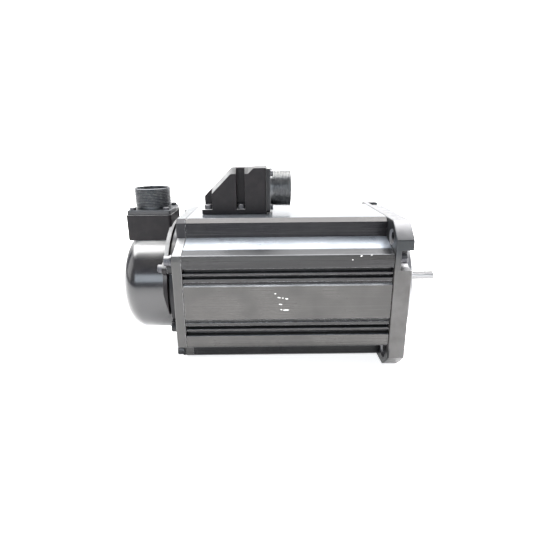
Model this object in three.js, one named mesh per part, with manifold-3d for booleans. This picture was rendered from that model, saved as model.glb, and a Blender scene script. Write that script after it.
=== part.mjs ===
// A brushless AC servo motor with a 130 mm square flange, as an assembly of separate pieces.
// Millimetres. +X runs along the shaft out of the flange, +Z is up. While a piece is made, x = 0 is the
// rear face of the rear bracket and the motor's axis is the X axis; the last lines move the whole motor
// so that the origin is the middle of the rectangle it stands on.
import * as THREE from "three";
import { mergeVertices } from "three/addons/utils/BufferGeometryUtils.js";
import Module from "manifold-3d";

const wasm = await Module();
wasm.setup();

// ---------------------------------------------------------------- driving dimensions

const SEAM = 0.3; // gap between two pieces that meet face to face
const RUNNING = 0.25; // radial gap between a turning piece and a fixed one
const SEAT_GAP = 0.25; // radial gap round a piece that sits in a bore

const FLANGE = 130; // side of the square flange
const FLANGE_CORNER = 165; // diameter to which the flange's corners are turned
const FLANGE_THICK = 14.2;
const PILOT = 110; // diameter of the centring spigot
const PILOT_HEIGHT = 6;
const BOLT_CIRCLE = 145;
const BOLT_HOLE = 9;
const BOLT_AT = BOLT_CIRCLE / 2 / Math.SQRT2; // y and z of a flange bolt hole

const BRACKET_THICK = 8;
const FRAME_LENGTH = 168.4;
const FRAME_START = BRACKET_THICK + SEAM;
const FRAME_END = FRAME_START + FRAME_LENGTH;
const FLANGE_REAR = FRAME_END + SEAM;
const FLANGE_FRONT = FLANGE_REAR + FLANGE_THICK;
const PILOT_FRONT = FLANGE_FRONT + PILOT_HEIGHT;

const SHAFT = 8; // diameter of the free shaft end
const SHAFT_LENGTH = 46; // beyond the flange's face
const SHAFT_TIP = FLANGE_FRONT + SHAFT_LENGTH;
const SHAFT_REAR = -21; // the encoder's end

// The frame's section, one quarter of it: y outwards, z upwards.
const PLATEAU = { y: 34.1, z: 64.8 };
const SHOULDER = { y: 38.9, z: 61.2 };
const NOTCH_FLOOR = 49.3;
const SLOPE_END = { y: 54.6, z: 42.8 };
const SIDE_TOP = { y: 63.2, z: 39.9 };
const SIDE = { y: 63.85, z: 35.6 };
const RIB_Y = 62.9; // ribs between the cooling slots stand a little lower than the side panel
const SLOT_FLOOR_Y = 57.8;
const SLOTS = [
  [29.2, 25.3],
  [23.4, 20.5],
]; // upper and lower z of each slot above the middle
const PANEL_EDGE = { groove: 17.8, foot: 15.7, top: 14.4, depth: 0.9 };
const FRAME_BORE = 52.5; // radius

const SPIGOT = { r: FRAME_BORE - SEAM, length: 5 }; // of flange and bracket, inside the frame
const TIE_SCREW = { far: 58, near: 35 }; // the screws through flange and bracket stand in a windmill
const TIE_POCKET = 8.2; // half width of the pocket round each flange screw
const TIE_POCKET_FLOOR = FLANGE_REAR + 4.4;

// Bore and outside are radii.
const FRONT_BEARING = { bore: 10, outside: 23.5, width: 14, start: FLANGE_REAR - 9 };
const REAR_BEARING = { bore: 7.5, outside: 17.5, width: 11, start: 10 };
const SEAL = { outside: 11, width: 7, start: PILOT_FRONT - 7.8 };

const STACK = { start: 46, end: 140 }; // laminations of stator and rotor
const TEETH = 12;
const STATOR_BORE = 31; // radius
const YOKE = 44.5; // radius of the slots' floor
const TOOTH_TIP = { start: 33, end: 34 }; // radii between which a tooth widens to its tip
const ROTOR_RADIUS = 27; // of the laminations, without the magnets
const CORE_BORE = 14; // radius
const WINDING_END = 16; // how far the coils stand out of the laminations

const COVER_RADIUS = 46;
const COVER_WALL = 1.6;
const COVER_END = -50.5;
const COVER_OPEN = -6.4;
const COVER_CORNER = 15; // radius of the pan's drawn corner
const BOSS_RADIUS = 55; // round boss on the rear bracket that the encoder sits on
const BOSS_DEPTH = 6;
const ENCODER_SCREW = { y: 50.5, z: 26 }; // screws of the encoder's housing; its lower holes stay empty
const ENCODER_EAR = 5; // radius of the lug round each of them
const HUB = { start: -20, end: -7, bore: 4.2, neck: 5.8, r: 7, collar: 11 };
const DISC = { x: -15, thick: 0.8, r: 21 };
const BOARD_PLATE = { x: -25, thick: 1.6, r: 37 };
const HOUSING_RIM = { inner: COVER_RADIUS + 0.4, outer: 57.3, start: -10, end: COVER_OPEN + 0.1 };

const CONNECTOR_THREAD = 31.75; // 1 1/4 inch
const CONNECTOR_FLANGE = 38.1;
const CONNECTOR_PITCH = 29.36; // between the flange's screws
const CONNECTOR_FLANGE_THICK = 3.2;
const CONNECTOR_REACH = 18.26; // of the threaded barrel from the flange
const CONNECTOR_RECESS = 11.5; // from the rim down to the insert
const CONNECTOR_HOLE_R = 1.6; // of a screw hole in its flange
const BARREL = { r: 13.9, neck: 14.97, bore: 12.9, mouth: 13.8, run: 2.2 }; // radii; run is the neck's length
const CONNECTOR_BACK = 8; // how far its rear barrel reaches behind the flange
const INSERT = { r: 12.7, start: -6, end: CONNECTOR_FLANGE_THICK + CONNECTOR_REACH - CONNECTOR_RECESS };
const PIN_REACH = 6; // of a contact in front of its insert
const POWER_PIN = { r: 1.2, pitch: 9.4 };
const GASKET = 0.8;
const CONNECTOR_WELL = 14.5; // radius of the bore that the rear barrel stands in

const ENCODER_X = -27.5; // axis of the encoder's connector
const ENCODER_WELL = { behind: 20.3, ahead: 19.2, half: 19.2 }; // sides of its housing from that axis
const ENCODER_TOP = 65.2; // top of its housing
const POWER_Z = 85.5; // axis of the power connector
const POWER_END = 75.6; // connector end of the power box
const POWER_START = 21;
const POWER_TOP = 104.8;
const POWER_HALF = 17.6; // half width
const POWER_FOOT = { start: 19.4, base: 65.1, top: 69.4 };
const POWER_SCREW_X = [24.7, 53.6];
const POWER_SCREW_Y = 13.6;
const WIRE_HOLE = { x: 38, r: 6 }; // winding leads pass up through it into the power box

// Screw heads and shanks by radius, height and length.
const M5 = { head: 4.25, height: 5, shank: 2.5, length: 14, washer: 1.4 };
const M4 = { head: 3.5, height: 4, shank: 2, length: 9 };
const M3 = { head: 2.75, height: 2.2, shank: 1.5, length: 8 };

const LARGE = 32; // sides of a round over 80 mm across
const MEDIUM = 20; // of one over 20 mm
const SMALL = 10;
const TINY = 8; // of a screw or a screw's hole

// ---------------------------------------------------------------- materials

const finish = (look) => new THREE.MeshStandardMaterial(look);
const BLACK_METAL = { color: 0x2a2b2e, roughness: 0.38, metalness: 0.4 };
const GLOSS_BLACK = { color: 0x1d1e21, roughness: 0.22, metalness: 0.3 };
const MATT_BLACK = { color: 0x26262a, roughness: 0.6, metalness: 0.2 };
const SHELL_GREY = { color: 0x4b5258, roughness: 0.4, metalness: 0.7 };
const BRIGHT_STEEL = { color: 0xc9ccd0, roughness: 0.25, metalness: 1 };
const DARK_STEEL = { color: 0x33353a, roughness: 0.4, metalness: 0.8 };
const LAMINATION = { color: 0x6f7276, roughness: 0.5, metalness: 0.8 };
const COPPER = { color: 0xa8602f, roughness: 0.45, metalness: 0.8 };
const MAGNET = { color: 0x55585c, roughness: 0.45, metalness: 0.6 };
const RUBBER = { color: 0x161616, roughness: 0.8, metalness: 0 };
const GLASS = { color: 0xbfc8cc, roughness: 0.05, metalness: 0 };
const BOARD = { color: 0x1f5a38, roughness: 0.5, metalness: 0 };
const PLASTIC = { color: 0x1a1a1c, roughness: 0.5, metalness: 0 };
const CONTACT = { color: 0xd8b25a, roughness: 0.3, metalness: 1 };

// ---------------------------------------------------------------- solids

function solid(geometry) {
  geometry.deleteAttribute("normal");
  geometry.deleteAttribute("uv");
  const merged = mergeVertices(geometry, 1e-4);
  const mesh = { numProp: 3, vertProperties: merged.attributes.position.array };
  return new wasm.Manifold(new wasm.Mesh({ ...mesh, triVerts: new Uint32Array(merged.index.array) }));
}

function geometryOf(body) {
  const mesh = body.getMesh();
  const geometry = new THREE.BufferGeometry();
  geometry.setAttribute("position", new THREE.BufferAttribute(mesh.vertProperties, 3));
  geometry.setIndex(new THREE.BufferAttribute(mesh.triVerts, 1));
  return geometry;
}

const area = (points) =>
  points.reduce((sum, [u, v], i) => {
    const [p, q] = points[(i + 1) % points.length];
    return sum + (u * q - p * v) / 2;
  }, 0);

// A flat outline in (y, z) pushed along X, in (x, z) along Y or in (x, y) along Z.
const BASIS = {
  x: new THREE.Matrix4().set(0, 0, 1, 0, 1, 0, 0, 0, 0, 1, 0, 0, 0, 0, 0, 1),
  y: new THREE.Matrix4().set(1, 0, 0, 0, 0, 0, -1, 0, 0, 1, 0, 0, 0, 0, 0, 1),
  z: new THREE.Matrix4(),
};

function prism(axis, outline, from, to) {
  const shape = new THREE.Shape(outline.map(([u, v]) => new THREE.Vector2(u, v)));
  const geometry = new THREE.ExtrudeGeometry(shape, { depth: to - from, bevelEnabled: false });
  // Pushing along Y turns the depth round, so the outline starts from its far side.
  geometry.translate(0, 0, axis === "y" ? -to : from);
  return solid(geometry.applyMatrix4(BASIS[axis]));
}

function box(x, y, z) {
  const geometry = new THREE.BoxGeometry(x[1] - x[0], y[1] - y[0], z[1] - z[0]);
  geometry.translate((x[0] + x[1]) / 2, (y[0] + y[1]) / 2, (z[0] + z[1]) / 2);
  return solid(geometry);
}

// A turned solid. The profile's points are [distance along the axis, radius]; it closes on itself or
// starts and ends on the axis.
function turned(profile, segments = MEDIUM) {
  const onAxis = profile[0][1] === 0 && profile.at(-1)[1] === 0;
  const points = area(profile.map(([along, r]) => [r, along])) < 0 ? [...profile].reverse() : [...profile];
  if (!onAxis) points.push(points[0]);
  const lathe = new THREE.LatheGeometry(points.map(([along, r]) => new THREE.Vector2(r, along)), segments);
  return solid(lathe.rotateZ(-Math.PI / 2));
}

const bar = (r, from, to, segments = SMALL) => {
  const profile = [
    [from, 0],
    [from, r],
    [to, r],
    [to, 0],
  ];
  return turned(profile, segments);
};

const ring = (inner, outer, from, to, segments = MEDIUM) => {
  const profile = [
    [from, inner],
    [from, outer],
    [to, outer],
    [to, inner],
  ];
  return turned(profile, segments);
};

const upright = (body) => body.rotate([0, -90, 0]); // from along X to along Z
const all = (bodies) => bodies.reduce((sum, body) => sum.add(body));
const fourCorners = (a, b) => [
  [-a, b],
  [a, b],
  [a, -b],
  [-a, -b],
];
// The windmill of screws: each is the one before turned by a quarter of a turn.
const windmill = (far, near) => [
  [-far, near],
  [near, far],
  [far, -near],
  [-near, -far],
];

// ---------------------------------------------------------------- frame, flange, bracket

const mirrored = (quarter) => {
  const half = [...quarter, ...[...quarter].reverse().map(([y, z]) => [y, -z])];
  return [...half, ...[...half].reverse().map(([y, z]) => [-y, z])];
};

const crossQuarter = [
  [PLATEAU.y, PLATEAU.z],
  [SHOULDER.y, SHOULDER.z],
  [SHOULDER.y, NOTCH_FLOOR],
  [SLOPE_END.y, SLOPE_END.z],
  [SIDE_TOP.y, SIDE_TOP.z],
  [SIDE.y, SIDE.z],
];

function slottedSide() {
  const points = [];
  let face = SIDE.y;
  for (const [top, bottom] of SLOTS) {
    points.push([face, top], [SLOT_FLOOR_Y, top], [SLOT_FLOOR_Y, bottom], [RIB_Y, bottom]);
    face = RIB_Y;
  }
  points.push([RIB_Y, PANEL_EDGE.groove], [RIB_Y - PANEL_EDGE.depth, PANEL_EDGE.groove]);
  points.push([RIB_Y - PANEL_EDGE.depth, PANEL_EDGE.foot], [SIDE.y, PANEL_EDGE.top]);
  return points;
}

function statorFrame() {
  const outline = mirrored([...crossQuarter, ...slottedSide()]);
  const tapped = { r: 2.75, depth: 16 };
  const holes = [bar(FRAME_BORE, FRAME_START - 1, FRAME_END + 1, LARGE)];
  for (const [y, z] of windmill(TIE_SCREW.far, TIE_SCREW.near)) {
    holes.push(bar(tapped.r, FRAME_START - 1, FRAME_START + tapped.depth, TINY).translate([0, y, z]));
    holes.push(bar(tapped.r, FRAME_END - tapped.depth, FRAME_END + 1, TINY).translate([0, y, z]));
  }
  const boxTap = upright(bar(2.3, PLATEAU.z - 9, PLATEAU.z + 1, TINY));
  for (const x of POWER_SCREW_X)
    for (const y of [-POWER_SCREW_Y, POWER_SCREW_Y]) holes.push(boxTap.translate([x, y, 0]));
  holes.push(upright(bar(WIRE_HOLE.r, FRAME_BORE - 4, PLATEAU.z + 1)).translate([WIRE_HOLE.x, 0, 0]));
  return prism("x", outline, FRAME_START, FRAME_END).subtract(all(holes));
}

function flangeOutline() {
  const radius = FLANGE_CORNER / 2;
  const half = FLANGE / 2;
  const first = Math.acos(half / radius);
  const last = Math.asin(half / radius);
  const steps = 4;
  const corner = [];
  for (let i = 0; i <= steps; i++) {
    const angle = last - ((last - first) * i) / steps;
    corner.push([radius * Math.cos(angle), radius * Math.sin(angle)]);
  }
  return mirrored(corner);
}

function frontFlange() {
  const hubStart = FRONT_BEARING.start - 2;
  const hubRadius = FRONT_BEARING.outside + 6;
  const seatEnd = FRONT_BEARING.start + FRONT_BEARING.width + 0.3;
  const waist = FRONT_BEARING.bore + 5;
  const body = all([
    prism("x", flangeOutline(), FLANGE_REAR, FLANGE_FRONT),
    bar(PILOT / 2, FLANGE_FRONT - 1, PILOT_FRONT, LARGE),
    bar(SPIGOT.r, FLANGE_REAR - SPIGOT.length, FLANGE_REAR + 1, LARGE),
    bar(hubRadius, hubStart, FLANGE_REAR + 1, MEDIUM),
  ]);
  const dish = ring(hubRadius, SPIGOT.r - 6, hubStart - 1, FLANGE_REAR - 0.6);
  const cuts = [
    dish,
    bar(FRONT_BEARING.outside + SEAT_GAP, hubStart - 1, seatEnd, MEDIUM),
    bar(waist, seatEnd - 1, SEAL.start, MEDIUM),
    bar(SEAL.outside + SEAT_GAP, SEAL.start - 1, PILOT_FRONT + 1, MEDIUM),
  ];
  for (const [y, z] of fourCorners(BOLT_AT, BOLT_AT))
    cuts.push(bar(BOLT_HOLE / 2, FLANGE_REAR - 1, FLANGE_FRONT + 1, 16).translate([0, y, z]));
  windmill(TIE_SCREW.far, TIE_SCREW.near).forEach(([y, z], turn) => {
    cuts.push(bar(3, FLANGE_REAR - 1, FLANGE_FRONT, TINY).translate([0, y, z]));
    cuts.push(tiePocket().rotate([-90 * turn, 0, 0]));
  });
  return body.subtract(all(cuts));
}

// The pocket round a flange screw: it opens forwards and out of the flange's side.
function tiePocket() {
  const x = [TIE_POCKET_FLOOR, FLANGE_FRONT + 1];
  const z = [TIE_SCREW.near - TIE_POCKET, TIE_SCREW.near + TIE_POCKET];
  const round = bar(TIE_POCKET, x[0], x[1], 16).translate([0, -TIE_SCREW.far, TIE_SCREW.near]);
  return round.add(box(x, [-FLANGE / 2 - 1, -TIE_SCREW.far], z));
}

function rearBracket() {
  const hub = { r: REAR_BEARING.outside + 5, end: REAR_BEARING.start + REAR_BEARING.width + 2 };
  const body = all([
    prism("x", mirrored(crossQuarter), 0, BRACKET_THICK),
    bar(BOSS_RADIUS, -BOSS_DEPTH, 1, LARGE),
    bar(SPIGOT.r, BRACKET_THICK - 1, BRACKET_THICK + SPIGOT.length, LARGE),
    bar(hub.r, BRACKET_THICK - 1, hub.end, MEDIUM),
    ...fourCorners(ENCODER_SCREW.y, ENCODER_SCREW.z).map(([y, z]) =>
      bar(ENCODER_EAR, -BOSS_DEPTH, 1).translate([0, y, z]),
    ),
  ]);
  const cuts = [
    ring(hub.r, SPIGOT.r - 6, BRACKET_THICK, hub.end + 1),
    bar(REAR_BEARING.outside + SEAT_GAP, REAR_BEARING.start - 1.5, hub.end + 1, MEDIUM),
    bar(REAR_BEARING.bore + 1.5, -BOSS_DEPTH - 1, REAR_BEARING.start, MEDIUM),
    bar(BOSS_RADIUS - 8, -BOSS_DEPTH - 1, -BOSS_DEPTH + 3.5, LARGE),
  ];
  for (const [y, z] of windmill(TIE_SCREW.far, TIE_SCREW.near))
    cuts.push(bar(3, -1, BRACKET_THICK + 1, TINY).translate([0, y, z]));
  for (const [y, z] of fourCorners(ENCODER_SCREW.y, ENCODER_SCREW.z))
    cuts.push(bar(2.3, -BOSS_DEPTH - 1, 4, TINY).translate([0, y, z]));
  return body.subtract(all(cuts));
}

// ---------------------------------------------------------------- screws

// A hexagon-socket cap screw along +X: the head's underside is at x = 0 and the shank runs to +length.
function capScrew({ head, height, shank, length, washer = 0 }) {
  const plain = [[0, head]];
  const captive = [
    [-washer, head],
    [-washer, head * 1.2],
    [0, head * 1.2],
  ];
  const underHead = washer ? captive : plain;
  const profile = [
    [-washer - height, 0],
    [-washer - height, head],
    ...underHead,
    [0, shank],
    [length, shank],
    [length, 0],
  ];
  const socket = bar(head * 0.56, -washer - height - 1, -washer - height * 0.45, 6);
  return turned(profile, TINY).subtract(socket);
}

// ---------------------------------------------------------------- stator

function statorCore() {
  const pitch = (2 * Math.PI) / TEETH;
  const outline = [];
  const polar = (r, angle) => [r * Math.cos(angle), r * Math.sin(angle)];
  const halfTip = pitch * 0.42; // tooth tips close most of each slot
  const halfStem = pitch * 0.2;
  for (let i = 0; i < TEETH; i++) {
    const middle = i * pitch;
    outline.push(polar(TOOTH_TIP.end, middle - halfStem), polar(TOOTH_TIP.start, middle - halfTip));
    outline.push(polar(STATOR_BORE, middle - halfTip), polar(STATOR_BORE, middle));
    outline.push(polar(STATOR_BORE, middle + halfTip), polar(TOOTH_TIP.start, middle + halfTip));
    outline.push(polar(TOOTH_TIP.end, middle + halfStem), polar(YOKE, middle + halfStem * 0.75));
    outline.push(polar(YOKE, middle + pitch - halfStem * 0.75));
  }
  const hollow = prism("x", outline, STACK.start - 1, STACK.end + 1);
  return bar(FRAME_BORE - SEAM, STACK.start, STACK.end, LARGE).subtract(hollow);
}

// One end of the windings: a laced ring of coil ends with a hump over each slot.
function windingEnd(from, to) {
  const swell = 1.6;
  const inner = STATOR_BORE + 2.5;
  const outer = YOKE - 1;
  const middle = (from + to) / 2;
  const profile = [
    [from, inner + swell],
    [from, outer - swell],
    [from + swell, outer],
    [to - swell, outer],
    [to, outer - swell],
    [to, inner + swell],
    [to - swell, inner],
    [from + swell, inner],
  ];
  const humps = [];
  for (let i = 0; i < TEETH; i++) {
    const hump = bar(3.4, middle - 5, middle + 5, 6).translate([0, 0, outer - 1]);
    humps.push(hump.rotate([((i + 0.5) * 360) / TEETH, 0, 0]));
  }
  return turned(profile).add(all(humps));
}

// ---------------------------------------------------------------- rotor

function shaft() {
  const encoderSeat = 4;
  const shoulder = 2.6;
  const chamfer = 0.6;
  const r = SHAFT / 2;
  const frontSeatEnd = FRONT_BEARING.start + FRONT_BEARING.width + 3;
  const profile = [
    [SHAFT_REAR, 0],
    [SHAFT_REAR, encoderSeat - chamfer],
    [SHAFT_REAR + chamfer, encoderSeat],
    [-4, encoderSeat],
    [-4, REAR_BEARING.bore],
    [REAR_BEARING.start + REAR_BEARING.width + 0.2, REAR_BEARING.bore],
    [REAR_BEARING.start + REAR_BEARING.width + 0.2, REAR_BEARING.bore + shoulder],
    [STACK.start - 6, REAR_BEARING.bore + shoulder],
    [STACK.start - 6, CORE_BORE],
    [STACK.end + 4, CORE_BORE],
    [STACK.end + 4, FRONT_BEARING.bore + shoulder],
    [FRONT_BEARING.start - 0.2, FRONT_BEARING.bore + shoulder],
    [FRONT_BEARING.start - 0.2, FRONT_BEARING.bore],
    [frontSeatEnd, FRONT_BEARING.bore],
    [frontSeatEnd + 3, r],
    [SHAFT_TIP - chamfer, r],
    [SHAFT_TIP, r - chamfer],
    [SHAFT_TIP, 0],
  ];
  return turned(profile);
}

// ---------------------------------------------------------------- bearings

function bearingRings(bearing) {
  const end = bearing.start + bearing.width;
  const depth = bearing.outside - bearing.bore;
  const track = bearing.start + bearing.width / 2;
  const ball = depth * 0.3; // radius
  const middle = (bearing.outside + bearing.bore) / 2;
  const race = (edge, lip, dip) => [
    [bearing.start, edge],
    [bearing.start, lip],
    [track - ball * 0.8, lip],
    [track, dip],
    [track + ball * 0.8, lip],
    [end, lip],
    [end, edge],
  ];
  const inner = race(bearing.bore + 0.1, bearing.bore + depth * 0.27, middle - ball - RUNNING);
  const outer = race(bearing.outside, bearing.outside - depth * 0.27, middle + ball + RUNNING);
  return { inner: turned(inner), outer: turned(outer) };
}

// Eight balls and the pressed cage that keeps them apart.
function ballCage(bearing) {
  const balls = 8;
  const depth = bearing.outside - bearing.bore;
  const track = bearing.start + bearing.width / 2;
  const middle = (bearing.outside + bearing.bore) / 2;
  const pieces = [ring(middle - depth * 0.1, middle + depth * 0.1, track - 1.2, track + 1.2)];
  for (let i = 0; i < balls; i++) {
    const ball = solid(new THREE.IcosahedronGeometry(depth * 0.3, 0)).translate([track, 0, middle]);
    pieces.push(ball.rotate([(i * 360) / balls, 0, 0]));
  }
  return all(pieces);
}

// A ring of spring steel with three waves; it loads the rear bearing.
function waveSpring() {
  const thickness = 0.5;
  const start = REAR_BEARING.start - 0.75;
  const inner = 13.5;
  const outer = 16.8;
  const profile = [
    [start - thickness / 2, inner],
    [start - thickness / 2, outer],
    [start + thickness / 2, outer],
    [start + thickness / 2, inner],
  ];
  return turned(profile, LARGE).warp((v) => {
    v[0] += 0.22 * Math.cos(3 * Math.atan2(v[2], v[1]));
  });
}

function oilSeal() {
  const end = SEAL.start + SEAL.width;
  const lip = SHAFT / 2 + RUNNING;
  const profile = [
    [SEAL.start, SEAL.outside],
    [end, SEAL.outside],
    [end, lip + 0.8],
    [end - 1, lip],
    [end - 2, lip + 0.8],
    [end - 2, SEAL.outside - 2],
    [SEAL.start + 1, SEAL.outside - 2],
    [SEAL.start, SEAL.outside - 1],
  ];
  return turned(profile);
}

// ---------------------------------------------------------------- encoder

function encoderHub() {
  const groove = { start: DISC.x - 0.1, end: DISC.x + DISC.thick + 0.1 };
  const profile = [
    [HUB.start, HUB.bore],
    [HUB.start, HUB.r],
    [groove.start, HUB.r],
    [groove.start, HUB.neck],
    [groove.end, HUB.neck],
    [groove.end, HUB.collar],
    [HUB.end, HUB.collar],
    [HUB.end, HUB.bore],
  ];
  return turned(profile);
}

function encoderBase() {
  const floor = -BOSS_DEPTH + 3.2;
  const plate = ring(15, 42, floor - 3, floor, LARGE);
  const posts = [];
  for (let i = 0; i < 3; i++) {
    const post = bar(3.5, BOARD_PLATE.x + BOARD_PLATE.thick + 0.1, floor - 2, TINY);
    posts.push(post.translate([0, 0, 31]).rotate([60 + i * 120, 0, 0]));
  }
  return plate.add(all(posts));
}

function encoderBoard() {
  const plate = bar(BOARD_PLATE.r, BOARD_PLATE.x, BOARD_PLATE.x + BOARD_PLATE.thick, LARGE);
  return plate.subtract(bar(5, BOARD_PLATE.x - 1, BOARD_PLATE.x + 3));
}

function encoderCover() {
  const shell = (grow) => {
    const r = COVER_RADIUS - grow;
    const corner = COVER_CORNER - grow;
    const end = COVER_END + grow;
    const points = [[end, 0]];
    const steps = 4;
    for (let i = 0; i <= steps; i++) {
      const angle = (Math.PI / 2) * (i / steps);
      points.push([end + corner - corner * Math.cos(angle), r - corner + corner * Math.sin(angle)]);
    }
    return points;
  };
  const outside = [...shell(0), [COVER_OPEN, COVER_RADIUS]];
  const inside = [...shell(COVER_WALL), [COVER_OPEN, COVER_RADIUS - COVER_WALL]];
  const pan = turned([...outside, ...inside.reverse()], LARGE);
  const cableHole = upright(bar(7, COVER_RADIUS - 8, COVER_RADIUS + 4)).translate([ENCODER_X, 0, 0]);
  return pan.subtract(cableHole);
}

// The cast housing of the encoder's connector: a square well over the cover, on half a ring that clamps
// the cover's rim to the bracket.
function encoderHousing() {
  const { behind, ahead, half } = ENCODER_WELL;
  const well = box([ENCODER_X - behind, ENCODER_X + ahead], [-half, half], [30, ENCODER_TOP]);
  const hollow = upright(bar(CONNECTOR_WELL, 20, ENCODER_TOP + 1, MEDIUM)).translate([ENCODER_X, 0, 0]);
  const rim = ring(HOUSING_RIM.inner, HOUSING_RIM.outer, HOUSING_RIM.start, HOUSING_RIM.end, LARGE);
  const lower = box([-20, 0], [-70, 70], [-70, -3]);
  const upperEars = fourCorners(ENCODER_SCREW.y, ENCODER_SCREW.z).slice(0, 2);
  const ears = upperEars.map(([y, z]) => bar(5.4, HOUSING_RIM.start, HOUSING_RIM.end).translate([0, y, z]));
  const cuts = [bar(HOUSING_RIM.inner, -60, 0, LARGE), hollow];
  for (const [y, z] of upperEars) cuts.push(bar(2.3, -20, 0, TINY).translate([0, y, z]));
  for (const [a, b] of fourCorners(CONNECTOR_PITCH / 2, CONNECTOR_PITCH / 2))
    cuts.push(upright(bar(1.65, ENCODER_TOP - 8, ENCODER_TOP + 1, TINY)).translate([ENCODER_X + a, b, 0]));
  return well.add(rim.subtract(lower)).add(all(ears)).subtract(all(cuts));
}

// ---------------------------------------------------------------- connectors

// A box-mounting receptacle along +X: the flange's mounting face is at x = 0.
function receptacle() {
  const half = CONNECTOR_FLANGE / 2;
  const thread = CONNECTOR_THREAD / 2;
  const rim = CONNECTOR_FLANGE_THICK + CONNECTOR_REACH;
  const step = rim - CONNECTOR_RECESS;
  const threadStart = CONNECTOR_FLANGE_THICK + BARREL.run;
  const plate = box([0, CONNECTOR_FLANGE_THICK], [-half, half], [-half, half]);
  const barrel = turned(
    [
      [-CONNECTOR_BACK, 0],
      [-CONNECTOR_BACK, BARREL.r],
      [1, BARREL.r],
      [1, BARREL.neck],
      [threadStart, BARREL.neck],
      [threadStart, thread],
      [rim - 0.5, thread],
      [rim, thread - 0.5],
      [rim, 0],
    ],
    MEDIUM,
  );
  const cuts = [
    bar(BARREL.bore, -CONNECTOR_BACK - 1, step, MEDIUM),
    bar(BARREL.mouth, step - 0.1, rim + 1, MEDIUM),
  ];
  for (const [a, b] of fourCorners(CONNECTOR_PITCH / 2, CONNECTOR_PITCH / 2))
    cuts.push(bar(CONNECTOR_HOLE_R, -1, CONNECTOR_FLANGE_THICK + 1, TINY).translate([0, a, b]));
  return plate.add(barrel).subtract(all(cuts));
}

function gasket() {
  const half = CONNECTOR_FLANGE / 2;
  const cuts = [bar(CONNECTOR_WELL, -1, 2, MEDIUM)];
  for (const [a, b] of fourCorners(CONNECTOR_PITCH / 2, CONNECTOR_PITCH / 2))
    cuts.push(bar(CONNECTOR_HOLE_R, -1, 2, TINY).translate([0, a, b]));
  return box([0.05, GASKET - 0.05], [-half, half], [-half, half]).subtract(all(cuts));
}

const POWER_PINS = fourCorners(POWER_PIN.pitch / 2, POWER_PIN.pitch / 2);

function powerInsert() {
  const holes = POWER_PINS.map(([a, b]) => bar(POWER_PIN.r + SEAT_GAP, -20, 20, TINY).translate([0, a, b]));
  return bar(INSERT.r, INSERT.start, INSERT.end, MEDIUM).subtract(all(holes));
}

// Ten small contacts, moulded in one piece with their insert.
function encoderInsert() {
  const contacts = [];
  const circles = [
    [8.6, 7],
    [3.6, 3],
  ];
  for (const [radius, count] of circles)
    for (let i = 0; i < count; i++) {
      const pin = bar(0.8, INSERT.start - 3, INSERT.end + PIN_REACH, 6).translate([0, 0, radius]);
      contacts.push(pin.rotate([(i * 360) / count, 0, 0]));
    }
  return bar(INSERT.r, INSERT.start, INSERT.end, MEDIUM).add(all(contacts));
}

// ---------------------------------------------------------------- power box

// A solid between two outlines of equal point count, in planes of constant y.
function loft(near, nearY, far, farY) {
  const count = near.length;
  const positions = [];
  const ringOf = (outline, y) => outline.forEach(([x, z]) => positions.push(x, y, z));
  ringOf(near, nearY);
  ringOf(far, farY);
  const index = [];
  for (let i = 0; i < count; i++) {
    const j = (i + 1) % count;
    index.push(i, j, count + j, i, count + j, count + i);
  }
  const cap = THREE.ShapeUtils.triangulateShape(near.map(([x, z]) => new THREE.Vector2(x, z)), []);
  for (const [a, b, c] of cap) index.push(a, b, c, count + c, count + b, count + a);
  const geometry = new THREE.BufferGeometry();
  geometry.setAttribute("position", new THREE.BufferAttribute(new Float32Array(positions), 3));
  geometry.setIndex(index);
  return solidOfEitherSide(geometry);
}

function solidOfEitherSide(geometry) {
  const body = solid(geometry);
  if (body.volume() > 0) return body;
  const { array } = geometry.index;
  for (let i = 0; i < array.length; i += 3) [array[i + 1], array[i + 2]] = [array[i + 2], array[i + 1]];
  return solid(geometry);
}

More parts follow.
